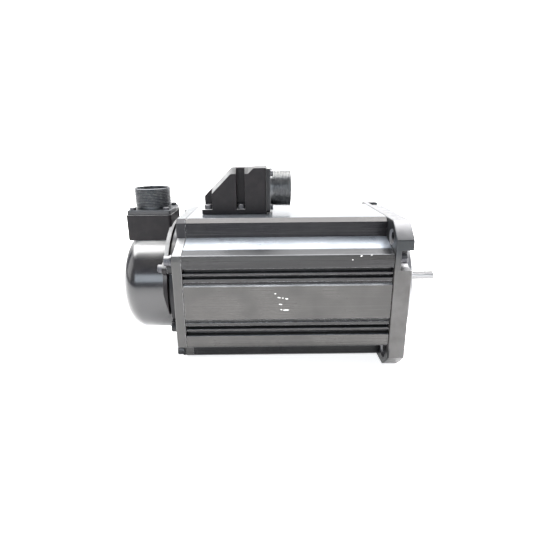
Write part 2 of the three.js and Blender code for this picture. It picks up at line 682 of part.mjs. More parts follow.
function powerBox() {
  const bevel = 5; // of the hood's upper edges
  const hoodTop = { start: 45.3, end: 60.1, rise: 65.3 };
  const slope = (z) => hoodTop.start - (POWER_TOP - z); // x of the 45 degree back at height z
  const outline = (drop) => [
    [POWER_START, POWER_FOOT.base],
    [POWER_START, POWER_TOP - drop - (hoodTop.start - POWER_START)],
    [slope(POWER_TOP), POWER_TOP - drop],
    [hoodTop.end, POWER_TOP - drop],
    [hoodTop.rise, POWER_TOP],
    [POWER_END, POWER_TOP],
    [POWER_END, POWER_FOOT.base],
  ];
  const ridge = outline(0);
  const edge = outline(bevel);
  const ridgeY = POWER_HALF - bevel;
  const hood = all([
    prism("y", ridge, -ridgeY, ridgeY),
    loft(edge, -POWER_HALF, ridge, -ridgeY),
    loft(edge, POWER_HALF, ridge, ridgeY),
  ]);
  const plate = [POWER_FOOT.start, POWER_START + 20];
  const foot = box(plate, [-POWER_HALF, POWER_HALF], [POWER_FOOT.base, POWER_FOOT.top]);
  const pocket = { half: 3.7, depth: 8 };
  const wall = 3.4;
  const cuts = [
    prism(
      "y",
      [
        [POWER_START + 11, POWER_FOOT.base - 1],
        [POWER_START + 11, POWER_TOP - 20],
        [hoodTop.start + 2, POWER_TOP - wall * 2],
        [POWER_END - wall, POWER_TOP - wall * 2],
        [POWER_END - wall, POWER_FOOT.base - 1],
      ],
      -POWER_HALF + pocket.depth + 2,
      POWER_HALF - pocket.depth - 2,
    ),
    bar(CONNECTOR_WELL, POWER_END - CONNECTOR_BACK - 2, POWER_END + 1, MEDIUM).translate([0, 0, POWER_Z]),
  ];
  for (const x of POWER_SCREW_X)
    for (const side of [-1, 1]) {
      const y = side * POWER_SCREW_Y;
      const open = side * (POWER_HALF + 1);
      const inner = side * (POWER_HALF - pocket.depth);
      const xs = [x === POWER_SCREW_X[0] ? POWER_FOOT.start - 1 : x - pocket.half, x + pocket.half];
      cuts.push(box(xs, [Math.min(open, inner), Math.max(open, inner)], [POWER_FOOT.top, POWER_TOP + 1]));
      cuts.push(upright(bar(2.3, POWER_FOOT.base - 1, POWER_FOOT.top + 1, TINY)).translate([x, y, 0]));
    }
  for (const [a, b] of fourCorners(CONNECTOR_PITCH / 2, CONNECTOR_PITCH / 2))
    cuts.push(bar(1.65, POWER_END - 6, POWER_END + 1, TINY).translate([0, a, POWER_Z + b]));
  return hood.add(foot).subtract(all(cuts));
}

// ---------------------------------------------------------------- assembly

const motor = new THREE.Group();

function add(name, body, look, place = {}, parent = motor) {
  const mesh = new THREE.Mesh(geometryOf(body), finish(look));
  mesh.name = name;
  if (place.at) mesh.position.set(...place.at);
  if (place.turn) mesh.rotation.set(...place.turn);
  parent.add(mesh);
}

add("stator_frame", statorFrame(), BLACK_METAL);
add("front_flange", frontFlange(), BLACK_METAL);
add("rear_bracket", rearBracket(), BLACK_METAL);

const backwards = [0, 0, Math.PI];
windmill(TIE_SCREW.far, TIE_SCREW.near).forEach(([y, z], i) => {
  const at = [TIE_POCKET_FLOOR + 0.05, y, z];
  add(`flange_screw_${i + 1}`, capScrew(M5), DARK_STEEL, { at, turn: backwards });
  add(`bracket_screw_${i + 1}`, capScrew(M5), DARK_STEEL, { at: [-0.05, y, z] });
});

add("stator_core", statorCore(), LAMINATION);
add("winding_end_rear", windingEnd(STACK.start - WINDING_END, STACK.start - SEAM), COPPER);
add("winding_end_front", windingEnd(STACK.end + SEAM, STACK.end + WINDING_END), COPPER);

add("shaft", shaft(), BRIGHT_STEEL);
add("rotor_core", ring(CORE_BORE + 0.2, ROTOR_RADIUS, STACK.start, STACK.end), LAMINATION);
add("magnet_ring", ring(ROTOR_RADIUS + 0.3, STATOR_BORE - 1, STACK.start, STACK.end), MAGNET);

for (const [side, bearing] of Object.entries({ front: FRONT_BEARING, rear: REAR_BEARING })) {
  const { inner, outer } = bearingRings(bearing);
  add(`${side}_bearing_outer_ring`, outer, BRIGHT_STEEL);
  add(`${side}_bearing_inner_ring`, inner, BRIGHT_STEEL);
  add(`${side}_bearing_balls`, ballCage(bearing), BRIGHT_STEEL);
}
add("wave_spring", waveSpring(), BRIGHT_STEEL);
add("oil_seal", oilSeal(), RUBBER);

add("encoder_hub", encoderHub(), BRIGHT_STEEL);
add("encoder_disc", ring(6, DISC.r, DISC.x, DISC.x + DISC.thick), GLASS);
add("encoder_base", encoderBase(), MATT_BLACK);
add("encoder_board", encoderBoard(), BOARD);
const head = { x: [BOARD_PLATE.x + BOARD_PLATE.thick + 0.1, DISC.x - 1], y: [-8, 8], z: [12, 24] };
add("encoder_read_head", box(head.x, head.y, head.z), PLASTIC);
add("encoder_cover", encoderCover(), GLOSS_BLACK);
add("encoder_housing", encoderHousing(), MATT_BLACK);
[-ENCODER_SCREW.y, ENCODER_SCREW.y].forEach((y, i) => {
  const at = [HOUSING_RIM.start - 0.05, y, ENCODER_SCREW.z];
  add(`encoder_screw_${i + 1}`, capScrew(M4), DARK_STEEL, { at });
});

// Each connector group has +X along its receptacle, from the face it is screwed to.
function connector(name, insert, contacts) {
  const group = new THREE.Group();
  add(`${name}_gasket`, gasket(), RUBBER, {}, group);
  add(`${name}_shell`, receptacle(), SHELL_GREY, { at: [GASKET, 0, 0] }, group);
  add(`${name}_insert`, insert, PLASTIC, { at: [GASKET, 0, 0] }, group);
  contacts.forEach(([a, b], i) => {
    const pin = bar(POWER_PIN.r, INSERT.start - 4, INSERT.end + PIN_REACH, TINY);
    add(`${name}_pin_${i + 1}`, pin, CONTACT, { at: [GASKET, a, b] }, group);
  });
  fourCorners(CONNECTOR_PITCH / 2, CONNECTOR_PITCH / 2).forEach(([a, b], i) => {
    const at = [GASKET + CONNECTOR_FLANGE_THICK + 0.05, a, b];
    add(`${name}_screw_${i + 1}`, capScrew(M3), DARK_STEEL, { at, turn: backwards }, group);
  });
  motor.add(group);
  return group;
}

const encoderConnector = connector("encoder_connector", encoderInsert(), []);
encoderConnector.position.set(ENCODER_X, 0, ENCODER_TOP);
encoderConnector.rotation.set(0, -Math.PI / 2, 0);

const powerConnector = connector("power_connector", powerInsert(), POWER_PINS);
powerConnector.position.set(POWER_END, 0, POWER_Z);

add("power_box", powerBox(), MATT_BLACK);
let boxScrew = 0;
for (const x of POWER_SCREW_X)
  for (const y of [-POWER_SCREW_Y, POWER_SCREW_Y]) {
    const place = { at: [x, y, POWER_FOOT.top + 0.05], turn: [0, Math.PI / 2, 0] };
    add(`power_box_screw_${++boxScrew}`, capScrew(M4), DARK_STEEL, place);
  }

const part = new THREE.Group();
motor.position.set(-(COVER_END + SHAFT_TIP) / 2, 0, FLANGE / 2);
part.add(motor);

export default part;
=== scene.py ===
"""The looks of a servo motor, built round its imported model.

Lengths are in millimetres from the motor's own origin until a piece is placed: x = 0 is the rear face of
the rear bracket, the motor's axis is the X axis, and +X runs along the shaft. A piece's mesh is then
moved to the row frame, in metres.
"""

import math

import bmesh
import bpy
from mathutils import Matrix, Vector
from mathutils.geometry import tessellate_polygon


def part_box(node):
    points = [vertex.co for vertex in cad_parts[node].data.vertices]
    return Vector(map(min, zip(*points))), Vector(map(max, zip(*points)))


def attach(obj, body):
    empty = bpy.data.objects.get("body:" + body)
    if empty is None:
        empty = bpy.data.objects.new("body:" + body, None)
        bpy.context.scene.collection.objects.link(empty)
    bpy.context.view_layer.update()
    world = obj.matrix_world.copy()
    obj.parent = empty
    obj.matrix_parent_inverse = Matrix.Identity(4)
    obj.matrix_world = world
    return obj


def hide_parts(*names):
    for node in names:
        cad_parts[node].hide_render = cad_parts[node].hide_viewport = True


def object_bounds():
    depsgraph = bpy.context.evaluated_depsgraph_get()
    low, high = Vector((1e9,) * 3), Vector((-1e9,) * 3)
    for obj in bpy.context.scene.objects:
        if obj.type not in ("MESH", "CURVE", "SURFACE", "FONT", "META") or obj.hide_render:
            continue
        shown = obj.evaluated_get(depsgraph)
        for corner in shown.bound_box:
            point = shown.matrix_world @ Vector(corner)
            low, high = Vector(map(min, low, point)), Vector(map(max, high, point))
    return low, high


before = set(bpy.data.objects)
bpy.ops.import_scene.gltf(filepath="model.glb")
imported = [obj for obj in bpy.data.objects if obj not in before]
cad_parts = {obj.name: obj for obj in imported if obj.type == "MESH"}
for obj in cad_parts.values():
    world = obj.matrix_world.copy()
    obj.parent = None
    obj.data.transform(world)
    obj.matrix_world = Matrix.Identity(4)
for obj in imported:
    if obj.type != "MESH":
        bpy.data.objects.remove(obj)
cad_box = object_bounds()

MM = 0.001
SEAM = 0.3
BRACKET_THICK = 8.0

# ---------------------------------------------------------------- places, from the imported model

frame_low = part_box("stator_frame")[0]
flange_low, flange_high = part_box("front_flange")
ORIGIN = Vector((frame_low.x - (BRACKET_THICK + SEAM) * MM, 0, (flange_low.z + flange_high.z) / 2))
TO_ROW = Matrix.Translation(ORIGIN) @ Matrix.Scale(MM, 4)


def span(node):
    """Lowest and highest corner of a CAD node, in the motor's millimetres."""
    low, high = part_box(node)
    return (low - ORIGIN) / MM, (high - ORIGIN) / MM


def middle(node):
    low, high = span(node)
    return (low + high) / 2


FRAME_START, FRAME_END = (corner.x for corner in span("stator_frame"))
PILOT_FRONT = span("front_flange")[1].x
SHAFT_TIP = span("shaft")[1].x
COVER_END, COVER_OPEN = (corner.x for corner in span("encoder_cover"))

# ---------------------------------------------------------------- the motor's own sizes

FLANGE = 130.0
FLANGE_CORNER = 165.0
FLANGE_REAR = FRAME_END + SEAM
FLANGE_FRONT = PILOT_FRONT - 6.0
PILOT = 110.0
BOLT_CIRCLE = 145.0
BOLT_HOLE = 9.0
BOLT_AT = BOLT_CIRCLE / 2 / math.sqrt(2)

# corners of the frame's section, as (half width, height) from the axis
PLATEAU = (34.1, 64.8)
SHOULDER = (38.9, 61.2)
NOTCH_FLOOR = 49.3
SLOPE_END = (54.6, 42.8)
SIDE_TOP = (63.2, 39.9)
SIDE = (63.85, 35.6)
RIB = 62.9
SLOT_FLOOR = 57.8
SLOTS = ((29.2, 25.3), (23.4, 20.5))
PANEL_GROOVE = (17.8, 15.7)
PANEL_TOP = 14.4
GROOVE_DEPTH = 0.9
FRAME_BORE = 52.5
SPIGOT = 52.2
# each flange and bracket screw is this far out on one axis and this far on the other
TIE_FAR, TIE_NEAR = 58.0, 35.0
# radii of the screws' clearance holes and threaded holes
M5_HOLE, M5_TAP = 2.9, 2.6
M4_HOLE, M4_TAP = 2.3, 2.1
M3_HOLE, M3_TAP = 1.7, 1.55
TIE_POCKET = 8.2
TIE_FLOOR = FLANGE_REAR + 4.4

COVER_RADIUS = 46.0
COVER_WALL = 1.6
COVER_CORNER = 15.0
BOSS_RADIUS = 55.0
BOSS_DEPTH = 6.0
ENCODER_SCREW = (50.5, 26.0)
ENCODER_EAR = 5.0
HOUSING_BORE = COVER_RADIUS + 0.4
HOUSING_OUTER = 57.3
HOUSING_RIM = (-10.0, COVER_OPEN + 0.1)
ENCODER_X = middle("encoder_connector_shell").x
ENCODER_TOP = 65.2

# a size 20 receptacle; INSERT, BARREL, MOUTH and THREAD are radii
CONNECTOR_FLANGE = 38.1
CONNECTOR_HALF = CONNECTOR_FLANGE / 2
CONNECTOR_PITCH = 29.36 / 2
CONNECTOR_THICK = 3.2
CONNECTOR_RIM = CONNECTOR_THICK + 18.26
CONNECTOR_BACK = 8.0
THREAD = 31.75 / 2
THREAD_PITCH = 25.4 / 18
THREAD_DEPTH = 0.75
MOUTH = 13.8
BARREL = 13.9
BARREL_BORE = 12.9
INSERT = 12.6
WELL = 14.5
INSERT_TOP = CONNECTOR_RIM - 11.5
INSERT_START = -6.0
PIN_REACH = 6.0
GASKET = 0.8

POWER_Z = middle("power_connector_shell").z
POWER_START = 21.0
POWER_END = 75.6
POWER_TOP = 104.8
POWER_HALF = 17.6
# where the power box's foot starts along the axis, and the heights of its underside and top
POWER_FOOT = (19.4, 65.1, 69.4)
POWER_SCREW_X = (24.7, 53.6)
POWER_SCREW_Y = 13.6

WINDMILL = ((-TIE_FAR, TIE_NEAR), (TIE_NEAR, TIE_FAR), (TIE_FAR, -TIE_NEAR), (-TIE_NEAR, -TIE_FAR))


def corners(a, b):
    return (-a, b), (a, b), (a, -b), (-a, -b)


# turns of what is built along +X
BACKWARDS = (180, "Z")
DOWNWARDS = (90, "Y")
UPWARDS = (-90, "Y")
BOLTS = corners(BOLT_AT, BOLT_AT)
ENCODER_SCREWS = corners(*ENCODER_SCREW)
CONNECTOR_SCREWS = corners(CONNECTOR_PITCH, CONNECTOR_PITCH)

# ---------------------------------------------------------------- outlines


def arc(centre, radius, start, end, steps):
    """Points on an arc in the (y, z) plane; the angles are in degrees, from +y towards +z."""
    points = []
    for i in range(steps + 1):
        angle = math.radians(start + (end - start) * i / steps)
        points.append(Vector((centre[0] + radius * math.cos(angle), centre[1] + radius * math.sin(angle))))
    return points


def circle(centre, radius, segments=32):
    return arc(centre, radius, 0, 360, segments)[:-1]


def fillet(points, steps=4):
    """Rounds each corner (y, z, radius) of an outline; a radius of 0 keeps it sharp."""
    rounded = []
    for i, (y, z, radius) in enumerate(points):
        here = Vector((y, z))
        if radius == 0:
            rounded.append(here)
            continue
        before = Vector(points[i - 1][:2]) - here
        after = Vector(points[(i + 1) % len(points)][:2]) - here
        half = before.angle(after) / 2
        reach = min(radius / math.tan(half), before.length * 0.45, after.length * 0.45)
        start, end = here + before.normalized() * reach, here + after.normalized() * reach
        for k in range(steps + 1):
            t = k / steps
            rounded.append(start * (1 - t) ** 2 + here * 2 * t * (1 - t) + end * t**2)
    return rounded


def mirrored(quarter):
    """The whole outline from its quarter in +y, +z. Each point is (y, z, fillet radius)."""
    half = [*quarter, *((y, -z, r) for y, z, r in reversed(quarter))]
    return [*half, *((-y, z, r) for y, z, r in reversed(half))]


def signed_area(loop):
    return sum(a.x * b.y - b.x * a.y for a, b in zip(loop, [*loop[1:], loop[0]])) / 2


def wound(loop, left):
    """The loop, turned so that its inside is on the left of its direction (or on the right)."""
    return loop if (signed_area(loop) > 0) == left else loop[::-1]


def inset(loop, distance):
    """The loop moved sideways, to the left of its direction."""
    moved = []
    for i, here in enumerate(loop):
        before, after = here - loop[i - 1], loop[(i + 1) % len(loop)] - here
        left = [Vector((-edge.y, edge.x)).normalized() for edge in (before, after)]
        bisector = (left[0] + left[1]).normalized()
        moved.append(here + bisector * distance / max(0.4, bisector.dot(left[0])))
    return moved


# ---------------------------------------------------------------- solids


def prism(outline, start, end, holes=(), bevel=(0.3, 0.3), steps=3):
    """An outline in (y, z) with holes, pushed along X. Its edges at start and end are rounded by bevel."""
    bm = bmesh.new()
    loops = [wound(outline, True), *(wound(hole, False) for hole in holes)]
    stations = []
    for face, width, way in ((start, bevel[0], 1), (end, bevel[1], -1)):
        for k in range(steps + 1)[::way]:
            turn = math.pi / 2 * k / steps
            stations.append((face + way * width * (1 - math.cos(turn)), width * (1 - math.sin(turn))))
    rings = []
    for x, depth in stations:
        rings.append([[bm.verts.new((x, p.x, p.y)) for p in inset(loop, depth)] for loop in loops])
    for lower, upper in zip(rings, rings[1:]):
        for a, b in zip(lower, upper):
            for i in range(len(a)):
                j = (i + 1) % len(a)
                bm.faces.new((a[i], a[j], b[j], b[i]))
    for ring in (rings[0], rings[-1]):
        flat = [vertex for loop in ring for vertex in loop]
        fill = tessellate_polygon([[Vector((v.co.y, v.co.z, 0)) for v in loop] for loop in ring])
        for triangle in fill:
            bm.faces.new([flat[i] for i in triangle])
    bmesh.ops.recalc_face_normals(bm, faces=bm.faces)
    return bm


def revolve(profile, segments=96, closed=False):
    """A solid turned about X. The profile's points are (x, radius), and a radius may depend on the angle.

    A closed profile comes back to its first point; an open one starts and ends on the axis."""
    bm = bmesh.new()
    rings = []
    for x, radius in profile:
        if radius == 0:
            rings.append([bm.verts.new((x, 0, 0))])
            continue
        ring = []
        for i in range(segments):
            angle = 2 * math.pi * i / segments
            r = radius(angle) if callable(radius) else radius
            ring.append(bm.verts.new((x, r * math.sin(angle), r * math.cos(angle))))
        rings.append(ring)
    pairs = list(zip(rings, rings[1:]))
    if closed:
        pairs.append((rings[-1], rings[0]))
    for a, b in pairs:
        for i in range(segments):
            j = (i + 1) % segments
            if len(a) == 1:
                bm.faces.new((a[0], b[j], b[i]))
            elif len(b) == 1:
                bm.faces.new((a[i], a[j], b[0]))
            else:
                bm.faces.new((a[i], a[j], b[j], b[i]))
    bmesh.ops.recalc_face_normals(bm, faces=bm.faces)
    return bm


def rounded_profile(points, steps=3):
    """A profile of (x, radius, fillet) points with its corners rounded."""
    return [(p.x, p.y) for p in fillet(points, steps)]


def turned(points, segments=96, closed=True):
    return revolve(rounded_profile(points), segments, closed)


def tube(inner, outer, start, end, edge=0.3, segments=96):
    section = ((start, inner), (start, outer), (end, outer), (end, inner))
    return turned([(*point, edge) for point in section], segments)


def rod(radius, start, end, segments=32):
    return revolve([(start, 0), (start, radius), (end, radius), (end, 0)], segments)


def block(low, high):
    bm = bmesh.new()
    size = Vector(high) - Vector(low)
    bmesh.ops.create_cube(bm, size=1.0)
    place = Matrix.Translation((Vector(high) + Vector(low)) / 2) @ Matrix.Diagonal((*size, 1))
    bmesh.ops.transform(bm, matrix=place, verts=bm.verts)
    return bm


def moved(bm, offset=(0, 0, 0), turn=None):
    matrix = Matrix.Translation(offset)
    if turn:
        matrix = matrix @ Matrix.Rotation(math.radians(turn[0]), 4, turn[1])
    bmesh.ops.transform(bm, matrix=matrix, verts=bm.verts)
    return bm


def rods(radius, start, end, segments, places):
    """A rod along X at each (y, z) place."""
    return [moved(rod(radius, start, end, segments), (0, y, z)) for y, z in places]


def joined(*bodies):
    """Several meshes as one, without a boolean."""
    whole = bmesh.new()
    for body in bodies:
        mesh = bpy.data.meshes.new("part")
        body.to_mesh(mesh)
        whole.from_mesh(mesh)
        bpy.data.meshes.remove(mesh)
        body.free()
    return whole


def temporary(bm):
    mesh = bpy.data.meshes.new("work")
    bm.to_mesh(mesh)
    bm.free()
    work = bpy.data.objects.new("work", mesh)
    bpy.context.scene.collection.objects.link(work)
    return work


def combined(base, tools, operation):
    """A boolean of base with each tool in turn."""
    if not tools:
        return base
    whole = temporary(base)
    helpers = [temporary(tool) for tool in tools]
    for helper in helpers:
        modifier = whole.modifiers.new("cut", "BOOLEAN")
        modifier.operation = operation
        modifier.solver = "EXACT"
        modifier.object = helper
    bm = bmesh.new()
    bm.from_object(whole, bpy.context.evaluated_depsgraph_get())
    for work in [whole, *helpers]:
        mesh = work.data
        bpy.data.objects.remove(work)
        bpy.data.meshes.remove(mesh)
    return bm


def union(base, *tools):
    return combined(base, tools, "UNION")


def cut(base, *tools):
    return combined(base, tools, "DIFFERENCE")


def softened(bm, width, sharp=32, segments=3):
    """Rounds every edge that is sharper than an angle in degrees."""
    bmesh.ops.remove_doubles(bm, verts=bm.verts, dist=0.004)
    bmesh.ops.dissolve_limit(bm, angle_limit=math.radians(0.6), verts=bm.verts, edges=bm.edges)
    limit = math.radians(sharp)
    edges = [e for e in bm.edges if len(e.link_faces) == 2 and e.calc_face_angle(0) > limit]
    bmesh.ops.bevel(
        bm, geom=edges, offset=width, segments=segments, profile=0.5, affect="EDGES", clamp_overlap=False
    )
    return bm


# ---------------------------------------------------------------- materials


class Recipe:
    """Builds one node material round a Principled shader."""

    def __init__(self, name, metallic=0.0, coat=0.0, specular=0.5):
        self.material = bpy.data.materials.new(name)
        self.material.use_nodes = True
        self.tree = self.material.node_tree
        self.shader = self.tree.nodes["Principled BSDF"]
        self.shader.inputs["Metallic"].default_value = metallic
        self.shader.inputs["Coat Weight"].default_value = coat
        self.shader.inputs["Coat Roughness"].default_value = 0.08
        self.shader.inputs["Specular IOR Level"].default_value = specular
        coordinates = self.tree.nodes.new("ShaderNodeTexCoord")
        self.place = self.scaled(coordinates.outputs["Object"], (1 / MM,) * 3)
        self.height = None
        self.base = None

    def node(self, kind, **settings):
        made = self.tree.nodes.new(kind)
        for key, value in settings.items():
            setattr(made, key, value)
        return made

    def plug(self, value, socket):
        if isinstance(value, bpy.types.NodeSocket):
            self.tree.links.new(value, socket)
        else:
            socket.default_value = value

    def scaled(self, vector, scale):
        mapping = self.node("ShaderNodeMapping")
        self.plug(vector, mapping.inputs["Vector"])
        mapping.inputs["Scale"].default_value = scale
        return mapping.outputs["Vector"]

    def noise(self, size, detail=3.0, stretch=(1, 1, 1), rough=0.5):
        """Noise with features of that size in millimetres, drawn out by stretch."""
        texture = self.node("ShaderNodeTexNoise")
        self.plug(self.scaled(self.place, tuple(1 / (size * s) for s in stretch)), texture.inputs["Vector"])
        texture.inputs["Scale"].default_value = 1.0
        texture.inputs["Detail"].default_value = detail
        texture.inputs["Roughness"].default_value = rough
        return texture.outputs["Fac"]

    def ramp(self, value, low, high, start=0.0, end=1.0):
        """value from low..high mapped to start..end, smooth and clamped."""
        mapped = self.node("ShaderNodeMapRange", interpolation_type="SMOOTHSTEP")
        self.plug(value, mapped.inputs["Value"])
        for name, number in (("From Min", low), ("From Max", high), ("To Min", start), ("To Max", end)):
            mapped.inputs[name].default_value = number
        return mapped.outputs["Result"]

    def maths(self, operation, a, b=0.0, clamp=False):
        node = self.node("ShaderNodeMath", operation=operation, use_clamp=clamp)
        self.plug(a, node.inputs[0])
        self.plug(b, node.inputs[1])
        return node.outputs[0]

    def times(self, a, b, clamp=False):
        return self.maths("MULTIPLY", a, b, clamp)

    def plus(self, a, b):
        return self.maths("ADD", a, b)

    def minus(self, a, b):
        return self.maths("SUBTRACT", a, b)

    def absolute(self, a):
        return self.maths("ABSOLUTE", a)

    def mix(self, share, a, b):
        node = self.node("ShaderNodeMix", data_type="RGBA")
        self.plug(share, node.inputs["Factor"])
        for value, socket in ((a, node.inputs["A"]), (b, node.inputs["B"])):
            self.plug((*value, 1.0) if isinstance(value, tuple) and len(value) == 3 else value, socket)
        return node.outputs["Result"]

    def band(self, value, low, high, soft=0.3):
        """1 where value is between low and high."""
        return self.times(self.ramp(value, low - soft, low), self.ramp(value, high + soft, high))

    def up(self, low, high):
        """1 on faces that look up, where dust and window light settle; 0 on upright ones."""
        geometry = self.node("ShaderNodeNewGeometry")
        parts = self.node("ShaderNodeSeparateXYZ")
        self.plug(geometry.outputs["Normal"], parts.inputs[0])
        return self.ramp(parts.outputs["Z"], low, high)

    def edges(self, radius, low=0.02, high=0.16, patch=(0.42, 0.66)):
        """1 on worn edges: where the surface turns within that radius, broken up by noise."""
        bevel = self.node("ShaderNodeBevel", samples=4)
        bevel.inputs["Radius"].default_value = radius * MM
        geometry = self.node("ShaderNodeNewGeometry")
        dot = self.node("ShaderNodeVectorMath", operation="DOT_PRODUCT")
        self.plug(bevel.outputs["Normal"], dot.inputs[0])
        self.plug(geometry.outputs["Normal"], dot.inputs[1])
        turned = self.minus(1.0, dot.outputs["Value"])
        patchy = self.ramp(self.noise(2.2, 4), *patch)
        return self.times(self.ramp(turned, low, high), patchy, clamp=True)

    def position(self):
        parts = self.node("ShaderNodeSeparateXYZ")
        self.plug(self.place, parts.inputs[0])
        return parts.outputs

    def motor_position(self):
        """Place from the motor's own origin: along the axis, sideways and up."""
        x, y, z = self.position()
        return self.minus(x, ORIGIN.x / MM), y, self.minus(z, ORIGIN.z / MM)

    def turning(self):
        """Place along the motor's axis, and distance from it, in millimetres."""
        x = self.position()[0]
        _, y, z = self.motor_position()
        square = self.plus(self.maths("POWER", y, 2.0), self.maths("POWER", z, 2.0))
        return x, self.maths("SQRT", square)

    def bump(self, value, height):
        """Adds relief of that height in millimetres."""
        node = self.node("ShaderNodeBump")
        node.inputs["Strength"].default_value = 1.0
        node.inputs["Distance"].default_value = height * MM
        self.plug(value, node.inputs["Height"])
        if self.height is not None:
            self.plug(self.height, node.inputs["Normal"])
        self.height = node.outputs["Normal"]
        self.plug(self.height, self.shader.inputs["Normal"])

    def paint(self, share, color):
        """Lays a colour over the base colour, where share is 1."""
        self.base = self.mix(share, self.base, color)

    def finish(self, roughness):
        self.plug(self.base, self.shader.inputs["Base Color"])
        self.plug(roughness, self.shader.inputs["Roughness"])
        return self.material


LENGTHWISE = (140, 1, 1)
BARE = (0.36, 0.36, 0.37)


def scuff_mask(recipe):
    """Rubbed paint on the near side panel: a few short strokes, each (x, z, length, width, slant)."""
    strokes = (
        (82.4, 8.0, 0.9, 0.5, 0.0), (85.4, 4.6, 1.5, 0.55, -0.1), (88.4, 4.2, 0.8, 0.5, 0.0),
        (91.6, 3.5, 1.5, 0.7, -0.1), (86.6, -1.3, 1.7, 0.55, 0.0), (91.2, -6.4, 3.0, 0.7, 0.03),
        (87.2, -5.9, 0.8, 0.6, 0.0), (143.5, 36.0, 0.7, 0.5, 0.0), (150.4, 39.0, 1.0, 0.7, 0.3),
        (158.3, 39.4, 0.8, 0.4, 0.0),
    )
    x, y, z = recipe.motor_position()
    ragged = recipe.times(recipe.noise(1.1, 5, rough=0.7), 1.8)
    total = None
    for along, up, length, width, slant in strokes:
        dx = recipe.minus(x, along)
        dz = recipe.minus(z, up)
        dz = recipe.minus(dz, recipe.times(dx, slant))
        u = recipe.maths("POWER", recipe.absolute(recipe.maths("DIVIDE", dx, length)), 2.0)
        v = recipe.maths("POWER", recipe.absolute(recipe.maths("DIVIDE", dz, width)), 2.0)
        far = recipe.plus(recipe.plus(u, v), ragged)
        stroke = recipe.ramp(far, 1.75, 1.25)
        total = stroke if total is None else recipe.maths("MAXIMUM", total, stroke)
    near_side = recipe.ramp(y, -61.0, -62.0)
    return recipe.times(total, near_side, clamp=True)


def frame_black():
    """Black anodised extrusion: lighter on its outer sides, with dust and painted light where it looks up,
    painted highlights along the panel lip and the side's top, a painted lighter tone on its lower facets, and
    painted shade, near-black, on its notch walls, on a facet below the slope and in its panel grooves.
    """
    r = Recipe("frame_black", metallic=0.6, specular=0.35)
    lines = r.noise(0.2, 3, LENGTHWISE)
    streaks = r.noise(1.6, 3, LENGTHWISE)
    smudge = r.noise(26, 4)
    speck = r.noise(0.9, 5, rough=0.8)
    along, y, height = r.motor_position()
    outward = r.absolute(y)
    unshaded_side = r.ramp(outward, 50, 60)
    over_slots = r.ramp(height, SLOTS[0][0] + 0.2, SLOTS[0][0] + 0.8, 0, 0.12)
    upper = r.plus(r.ramp(height, 15, 18, 0, 0.6), over_slots)
    upper = r.minus(upper, r.ramp(height, SIDE[1] - 0.2, SIDE[1] + 0.4, 0, 0.5))
    side = r.mix(upper, (0.06, 0.058, 0.056), (0.01, 0.01, 0.012))
    low_ribs = r.times(r.band(height, -26.6, -15.6), 0.55)
    side = r.mix(low_ribs, side, (0.01, 0.01, 0.012))
    # painted shade: the floors of the panel grooves are painted near-black
    groove_shade = r.times(r.ramp(outward, RIB - 0.3, RIB - 0.6), r.ramp(r.absolute(height), 19.5, 18.5))
    side = r.mix(groove_shade, side, (0.004, 0.004, 0.005))
    # painted shade: inward of the outer side faces the base is near-black, standing in for the shade on the
    # notch walls under the slope
    r.base = r.mix(unshaded_side, (0.005, 0.005, 0.007), side)
    # painted shade: among the up-facing faces, the facet between the slope's end and the side's top is
    # painted near-black
    shaded_facet = r.times(r.ramp(height, 43.2, 42.4), r.ramp(height, 37, 39))
    # dust and painted light: faces that look up are painted a pale bluish grey, dimmer towards the front end
    # of the slope
    open_air = r.maths("MAXIMUM", r.ramp(outward, 61.8, 62.3), r.ramp(height, 36, 38))
    looks_up = r.times(r.up(0.8, 0.92), open_air)
    far_slope = r.times(r.ramp(along, 115, 165), r.ramp(height, 60, 55))
    open_face = r.mix(far_slope, (0.2, 0.22, 0.245), (0.14, 0.157, 0.18))
    r.paint(looks_up, r.mix(shaded_facet, open_face, (0.007, 0.008, 0.01)))
    # painted light: the top chamfer is painted a lighter grey than the near-black base
    top_chamfer = r.times(r.up(0.6, 0.75), r.band(height, SHOULDER[1] + 0.2, PLATEAU[1] - 0.2))
    r.paint(top_chamfer, (0.034, 0.033, 0.033))
    # painted highlight: a pale bluish line on the up-facing lip of the side panel
    panel_lip = r.times(r.up(0.6, 0.8), r.band(height, 13, 17))
    r.paint(panel_lip, (0.24, 0.25, 0.265))
    # painted highlight: a light grey line along the rounding at the side's top
    side_top_highlight = r.times(r.ramp(outward, 62.3, 62.8), r.band(height, SIDE_TOP[1], SIDE_TOP[1] + 0.7, 0.2))
    r.paint(side_top_highlight, (0.11, 0.113, 0.12))
    # painted light: below z -38, fully by z -40, a lighter tone stands in for the floor's light on the lower
    # facets
    r.paint(r.ramp(height, -38, -40), (0.016, 0.016, 0.017))
    r.paint(r.ramp(smudge, 0.3, 0.7, 0.0, 0.3), (0.03, 0.03, 0.03))
    r.paint(r.ramp(streaks, 0.5, 0.8, 0, 0.16), (0.12, 0.12, 0.12))
    r.paint(r.ramp(lines, 0.55, 0.8, 0, 0.3), (0.12, 0.12, 0.12))
    r.paint(r.ramp(speck, 0.68, 0.76, 0, 0.35), (0.2, 0.19, 0.18))
    r.paint(r.times(r.edges(0.5, patch=(0.3, 0.55)), 0.85), (0.55, 0.56, 0.58))
    marks = scuff_mask(r)
    r.paint(r.times(marks, 0.9), (0.8, 0.8, 0.78))
    gloss = r.plus(r.ramp(smudge, 0.3, 0.75, 0.26, 0.38), r.ramp(lines, 0.3, 0.7, -0.03, 0.04))
    gloss = r.times(gloss, r.ramp(height, PLATEAU[1] - 0.6, PLATEAU[1] - 0.2, 1, 0.5))
    rough = r.plus(gloss, r.times(marks, 0.35))
    r.bump(lines, 0.012)
    r.bump(marks, 0.02)
    return r.finish(rough)


